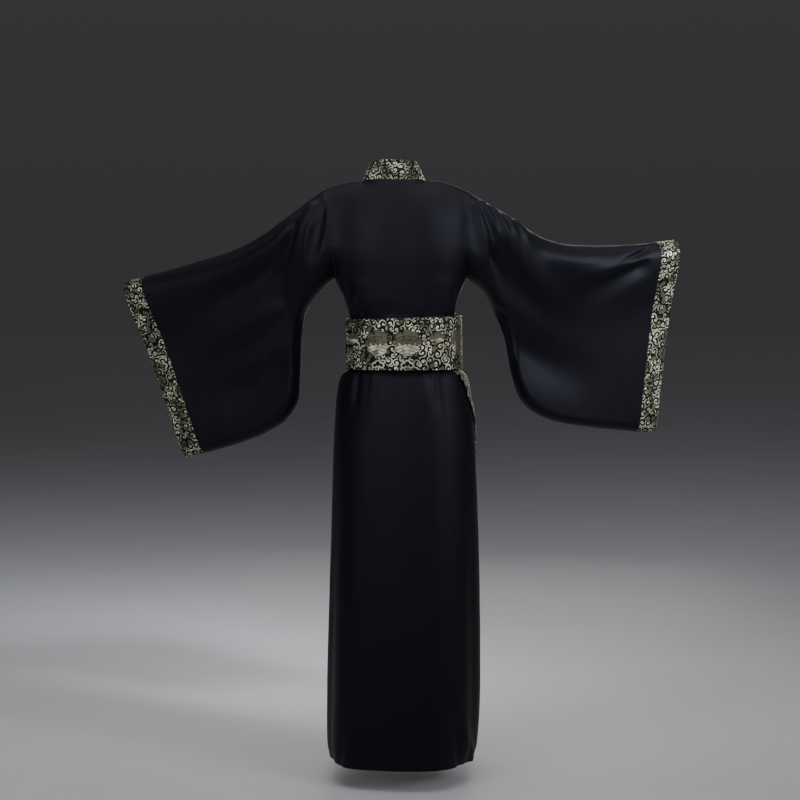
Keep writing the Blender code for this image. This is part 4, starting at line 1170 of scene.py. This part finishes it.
def make_brocade(name, colours, palmettes=False):
    """Jacquard brocade: flat, metallic weft floats drawn in curls over a black satin ground.

    The figure is drawn by the pale thread, which glints, and filled leaves by a duller olive one.
    In slow patches the pale thread is painted olive, as painted shade between painted glints.
    """
    material, add = new_material(name)
    ground, pale_thread, olive_thread = (
        (*thread, 1.0) for thread in (colours.ground, colours.pale_thread, colours.olive_thread)
    )
    cloth = add("UVMap", uv_map="cloth")
    place = add("VectorMath", {0: cloth, "Scale": MM}, operation="SCALE")
    drift = add("TexNoise", {"Vector": place, "Scale": 1 / DRIFT_SIZE, "Detail": 1.0}).outputs[1]
    drift = add("VectorMath", (drift, (0.5, 0.5, 0.5)), operation="SUBTRACT")
    drift = add("VectorMath", {0: drift, "Scale": DRIFT_REACH}, operation="SCALE")
    drifted = add("VectorMath", (place, drift), operation="ADD")
    pale, olive = draw_curls(add, drifted)
    if palmettes:
        # Painted highlight and shade: the palmettes' pale lower parts, and their olive upper parts,
        # which `shade` holds.
        flower, shade, covered = draw_belt_motifs(add, place)
        pale = add("Math", (pale, covered), operation="SUBTRACT", use_clamp=True)
        olive = add("Math", (olive, covered), operation="SUBTRACT", use_clamp=True)
        pale = add("Math", (pale, flower), operation="MAXIMUM")
        olive = add("Math", (olive, shade), operation="MAXIMUM")
    figure = add("Math", (pale, olive), operation="MAXIMUM")

    across = add("SeparateXYZ", (place,)).outputs[1]
    rib = add("Math", (across, math.tau / THREAD_RIB), operation="MULTIPLY")
    rib = add("Math", (rib,), operation="SINE")
    # Painted sheen: slow patches paint the pale thread olive, a painted shade between painted
    # glints of the metal thread.
    glint_patches = add("TexNoise", {"Vector": place, "Scale": 1 / GLINT_PATCH_SIZE, "Detail": 4.0})
    painted_dullness = add("MapRange", (glint_patches, *GLINT_SPREAD, 1.0, 0.0))
    threads = add("Mix", {0: painted_dullness, 6: pale_thread, 7: olive_thread}, data_type="RGBA")
    threads = threads.outputs[2]
    # The leaves are of the olive thread, and the palmettes' upper parts are painted olive as
    # painted shade.
    threads = add("Mix", {0: olive, 6: threads, 7: olive_thread}, data_type="RGBA")
    threads = threads.outputs[2]
    # Painted shade in the troughs between the ribs, and painted light on their crests.
    shade = add("MapRange", (rib, -1.0, 1.0, *THREAD_RIB_SHADE))
    threads = add("VectorMath", {0: threads, "Scale": shade}, operation="SCALE")
    woven = add("Mix", {0: figure, 6: ground, 7: threads}, data_type="RGBA")
    gloss = add("MapRange", (figure, 0.0, 1.0, *BROCADE_ROUGHNESS))
    metal = add("Math", (figure, FIGURE_METAL), operation="MULTIPLY")
    relief = add("Math", (rib, THREAD_RIB_SHARE, figure), operation="MULTIPLY_ADD")
    bump = add("Bump", {"Height": relief, "Strength": 0.8, "Distance": 0.00035})
    set_shader(
        material, Base_Color=woven.outputs[2], Roughness=gloss, Metallic=metal, Normal=bump,
        Specular_IOR_Level=0.15,
    )
    return material


def make_floor_paint(name, colours):
    """Matt painted studio floor, faintly mottled by the roller."""
    material, add = new_material(name)
    solid = add("TexCoord").outputs["Object"]
    mottle = add("TexNoise", {"Vector": solid, "Scale": MOTTLES_PER_METRE, "Detail": 3.0})
    tint = add("MapRange", (mottle, *NOISE_SPREAD, *MOTTLE_TINT))
    paint = add("VectorMath", {0: tuple(colours.floor), "Scale": tint}, operation="SCALE")
    set_shader(material, Base_Color=paint, Roughness=0.7, Specular_IOR_Level=0.3)
    return material


SATIN = "woven polyester satin"
STRIP_BROCADE = "brocade of the strips"
BELT_BROCADE = "brocade of the belt"
FLOOR_PAINT = "matt studio floor paint"
FINISHES = {
    SATIN: make_satin,
    STRIP_BROCADE: make_brocade,
    BELT_BROCADE: functools.partial(make_brocade, palmettes=True),
    FLOOR_PAINT: make_floor_paint,
}


def material_of(finish, context):
    """A finish, made the first time that it is asked for."""
    made = bpy.data.materials.get(finish)
    return made or FINISHES[finish](finish, context.scene.robe_colours)


# ---------------------------------------------------------------- what a user can change


def thickness(name, description, default, low=0.0005):
    return bpy.props.FloatProperty(
        name=name, description=description, default=default, min=low, max=0.003,
        precision=4, subtype="DISTANCE", unit="LENGTH",
    )


def colour(name, description, hex_colour):
    return bpy.props.FloatVectorProperty(
        name=name, description=description, default=linear(hex_colour)[:3],
        min=0.0, max=1.0, subtype="COLOR",
    )


class RobeSizes(bpy.types.PropertyGroup):
    satin_wall: thickness("Satin thickness", "How thick the satin is made", 0.0015)
    brocade_wall: thickness(
        "Brocade thickness", "How thick the collar band and the cuffs are", 0.0020
    )
    belt_wall: thickness("Belt thickness", "How thick the stiffened belt is", 0.0030, 0.001)
    fold_strength: bpy.props.FloatProperty(
        name="Fold strength", description="How deep the folds are, as a share of the usual depth",
        default=1.0, min=0.0, max=1.3, subtype="FACTOR",
    )


class RobeColours(bpy.types.PropertyGroup):
    satin: colour("Satin", "Colour of the black satin", "#08080b")
    ground: colour("Brocade ground", "Colour of the satin between the woven curls", "#050506")
    # The pale and the olive thread also paint highlight and shade: the palmettes' lower and upper
    # parts, and the bright and dull patches of the figure.
    pale_thread: colour("Pale thread", "Colour of the thread that draws the curls", "#e6e6c6")
    olive_thread: colour("Olive thread", "Colour of the thread that fills the leaves", "#62614a")
    floor: colour("Floor", "Colour of the studio floor", "#ececee")


# ---------------------------------------------------------------- the operators

# The cut of each piece, flat, in metres and square metres, how it is held and what it lies on
Cut = namedtuple("Cut", "width length area held rests_on")


def dress(context, names, wall, finish):
    """Makes pieces of the robe's cloth in place of their plain solids."""
    cloths = robe_cloths(context.scene.robe_sizes.fold_strength)
    for name in names:
        piece = sew(f"{name}_cloth", cloths[name], wall, material_of(finish, context))
        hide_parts(name)


class ROBE_OT_body(bpy.types.Operator):
    """Makes the back panel and the two fronts of black satin"""

    bl_idname = "robe.body"
    bl_label = "Body Panels"

    def execute(self, context):
        panels = ("back_panel", "left_front", "right_front")
        dress(context, panels, context.scene.robe_sizes.satin_wall, SATIN)
        return {"FINISHED"}


class ROBE_OT_sleeves(bpy.types.Operator):
    """Makes the two wide sleeves of black satin"""

    bl_idname = "robe.sleeves"
    bl_label = "Sleeves"

    def execute(self, context):
        layers = [f"{arm}_sleeve_{side}" for arm in ("left", "right") for side in ("back", "front")]
        dress(context, layers, context.scene.robe_sizes.satin_wall, SATIN)
        return {"FINISHED"}


class ROBE_OT_bands(bpy.types.Operator):
    """Makes the brocade collar band, the two skirt bands and the two cuffs"""

    bl_idname = "robe.bands"
    bl_label = "Collar Band and Cuffs"

    def execute(self, context):
        wall = context.scene.robe_sizes.brocade_wall
        strips = ("collar_band", "left_skirt_band", "right_skirt_band", "left_cuff", "right_cuff")
        dress(context, strips, wall, STRIP_BROCADE)
        return {"FINISHED"}


class ROBE_OT_belt(bpy.types.Operator):
    """Makes the wide belt, which laps over its own end at the back"""

    bl_idname = "robe.belt"
    bl_label = "Belt"

    def execute(self, context):
        wall = context.scene.robe_sizes.belt_wall
        dress(context, ("belt",), wall, BELT_BROCADE)
        return {"FINISHED"}


# ---------------------------------------------------------------- the stage

STAGE_RADIUS = 40.0  # metres, so that the floor's rim is lost at the horizon
CAMERA_PLACE = (-0.015, 4.2, -0.27)
CAMERA_TILT = 3.8  # degrees below level
CAMERA_LENS = 75.6  # mm, on a film 36 mm wide
# Each soft box is a square of this size, in metres, turned to its target. Its light fans out by
# so many degrees, so that the narrow ones reach the cloth and leave the floor alone.
SoftBox = namedtuple("SoftBox", "name place size watts target fan colour")
SOFT_BOXES = (
    SoftBox("key", (-3.4, 2.0, 2.0), 3.0, 17.0, (-0.4, 0.0, 0.8), 50, "#f1f3ff"),
    SoftBox("side", (-3.0, 1.9, 1.7), 0.6, 2.0, (-0.72, -0.17, -0.24), 20, "#f1f3ff"),
    SoftBox("back", (0.4, 3.8, 1.6), 3.0, 13.0, (0.0, 0.0, 0.9), 50, "#eef1ff"),
    SoftBox("fill", (3.0, 3.4, 1.6), 2.6, 13.0, (0.3, 0.0, 0.9), 50, "#f0f2ff"),
    SoftBox("front", (-0.4, -4.4, 0.3), 2.4, 9.0, (0.0, 0.0, -0.4), 60, "#fffdf8"),
    SoftBox("ceiling", (0.0, 0.2, 3.0), 3.6, 52.0, (0.0, 0.2, 0.0), 150, "#ffffff"),
)
ROOM_COLOUR, ROOM_STRENGTH = "#d4d5d9", 0.07
HORIZON_SHARE, HORIZON_HEIGHT = 0.77, 0.35  # the room dims towards the horizon, as the floor does


def lay_floor(context):
    mesh = bmesh.new()
    bmesh.ops.create_circle(mesh, cap_ends=True, segments=96, radius=STAGE_RADIUS)
    bmesh.ops.translate(mesh, verts=mesh.verts, vec=(0.0, 0.0, FLOOR))
    finished("floor", mesh, material_of(FLOOR_PAINT, context))


def hang_soft_box(box):
    light = bpy.data.lights.new(box.name, "AREA")
    light.size = box.size
    light.energy = box.watts
    light.spread = math.radians(box.fan)
    light.color = linear(box.colour)[:3]
    lamp = in_scene(box.name, light)
    lamp.location = box.place
    aim = Vector(box.target) - Vector(box.place)
    lamp.rotation_euler = aim.to_track_quat("-Z", "Y").to_euler()


def light_room(context):
    """An even, pale room round the stage, a little dimmer towards the horizon."""
    world = bpy.data.worlds.new("studio")
    world.use_nodes = True
    background = world.node_tree.nodes["Background"]
    background.inputs["Color"].default_value = linear(ROOM_COLOUR)
    add = functools.partial(add_node, world.node_tree)
    height = add("SeparateXYZ", (add("TexCoord").outputs["Generated"],)).outputs[2]
    strengths = HORIZON_SHARE * ROOM_STRENGTH, ROOM_STRENGTH
    glow = add("MapRange", (height, 0.0, HORIZON_HEIGHT, *strengths))
    plug(world.node_tree, glow, background.inputs["Strength"])
    context.scene.world = world


def place_camera(context):
    lens = bpy.data.cameras.new("camera")
    lens.lens = CAMERA_LENS
    lens.clip_end = 3 * STAGE_RADIUS
    camera = in_scene("camera", lens)
    camera.location = CAMERA_PLACE
    camera.rotation_euler = (math.radians(90.0 - CAMERA_TILT), 0.0, math.pi)
    context.scene.camera = camera


class ROBE_OT_stage(bpy.types.Operator):
    """Makes the pale floor, the soft lights and the camera"""

    bl_idname = "robe.stage"
    bl_label = "Stage"

    def execute(self, context):
        lay_floor(context)
        for box in SOFT_BOXES:
            hang_soft_box(box)
        light_room(context)
        place_camera(context)
        return {"FINISHED"}


class ROBE_PT_panel(bpy.types.Panel):
    """Lists the robe's sizes, colours and pieces"""

    bl_idname = "ROBE_PT_panel"
    bl_label = "Satin Hanfu Robe"
    bl_space_type = "VIEW_3D"
    bl_region_type = "UI"
    bl_category = "Robe"

    def draw(self, context):
        column = self.layout.column()
        for group in (context.scene.robe_sizes, context.scene.robe_colours):
            for name in group.__annotations__:
                column.prop(group, name)
        for operator in OPERATORS:
            column.operator(operator.bl_idname)


OPERATORS = (ROBE_OT_stage, ROBE_OT_body, ROBE_OT_sleeves, ROBE_OT_bands, ROBE_OT_belt)
CLASSES = (RobeSizes, RobeColours, *OPERATORS, ROBE_PT_panel)


def register():
    for made in CLASSES:
        bpy.utils.register_class(made)
    bpy.types.Scene.robe_sizes = bpy.props.PointerProperty(type=RobeSizes)
    bpy.types.Scene.robe_colours = bpy.props.PointerProperty(type=RobeColours)


def unregister():
    del bpy.types.Scene.robe_colours
    del bpy.types.Scene.robe_sizes
    for made in reversed(CLASSES):
        bpy.utils.unregister_class(made)


def main():
    register()
    bpy.ops.robe.stage()
    bpy.ops.robe.body()
    bpy.ops.robe.sleeves()
    bpy.ops.robe.bands()
    bpy.ops.robe.belt()


if __name__ == "__main__":
    main()
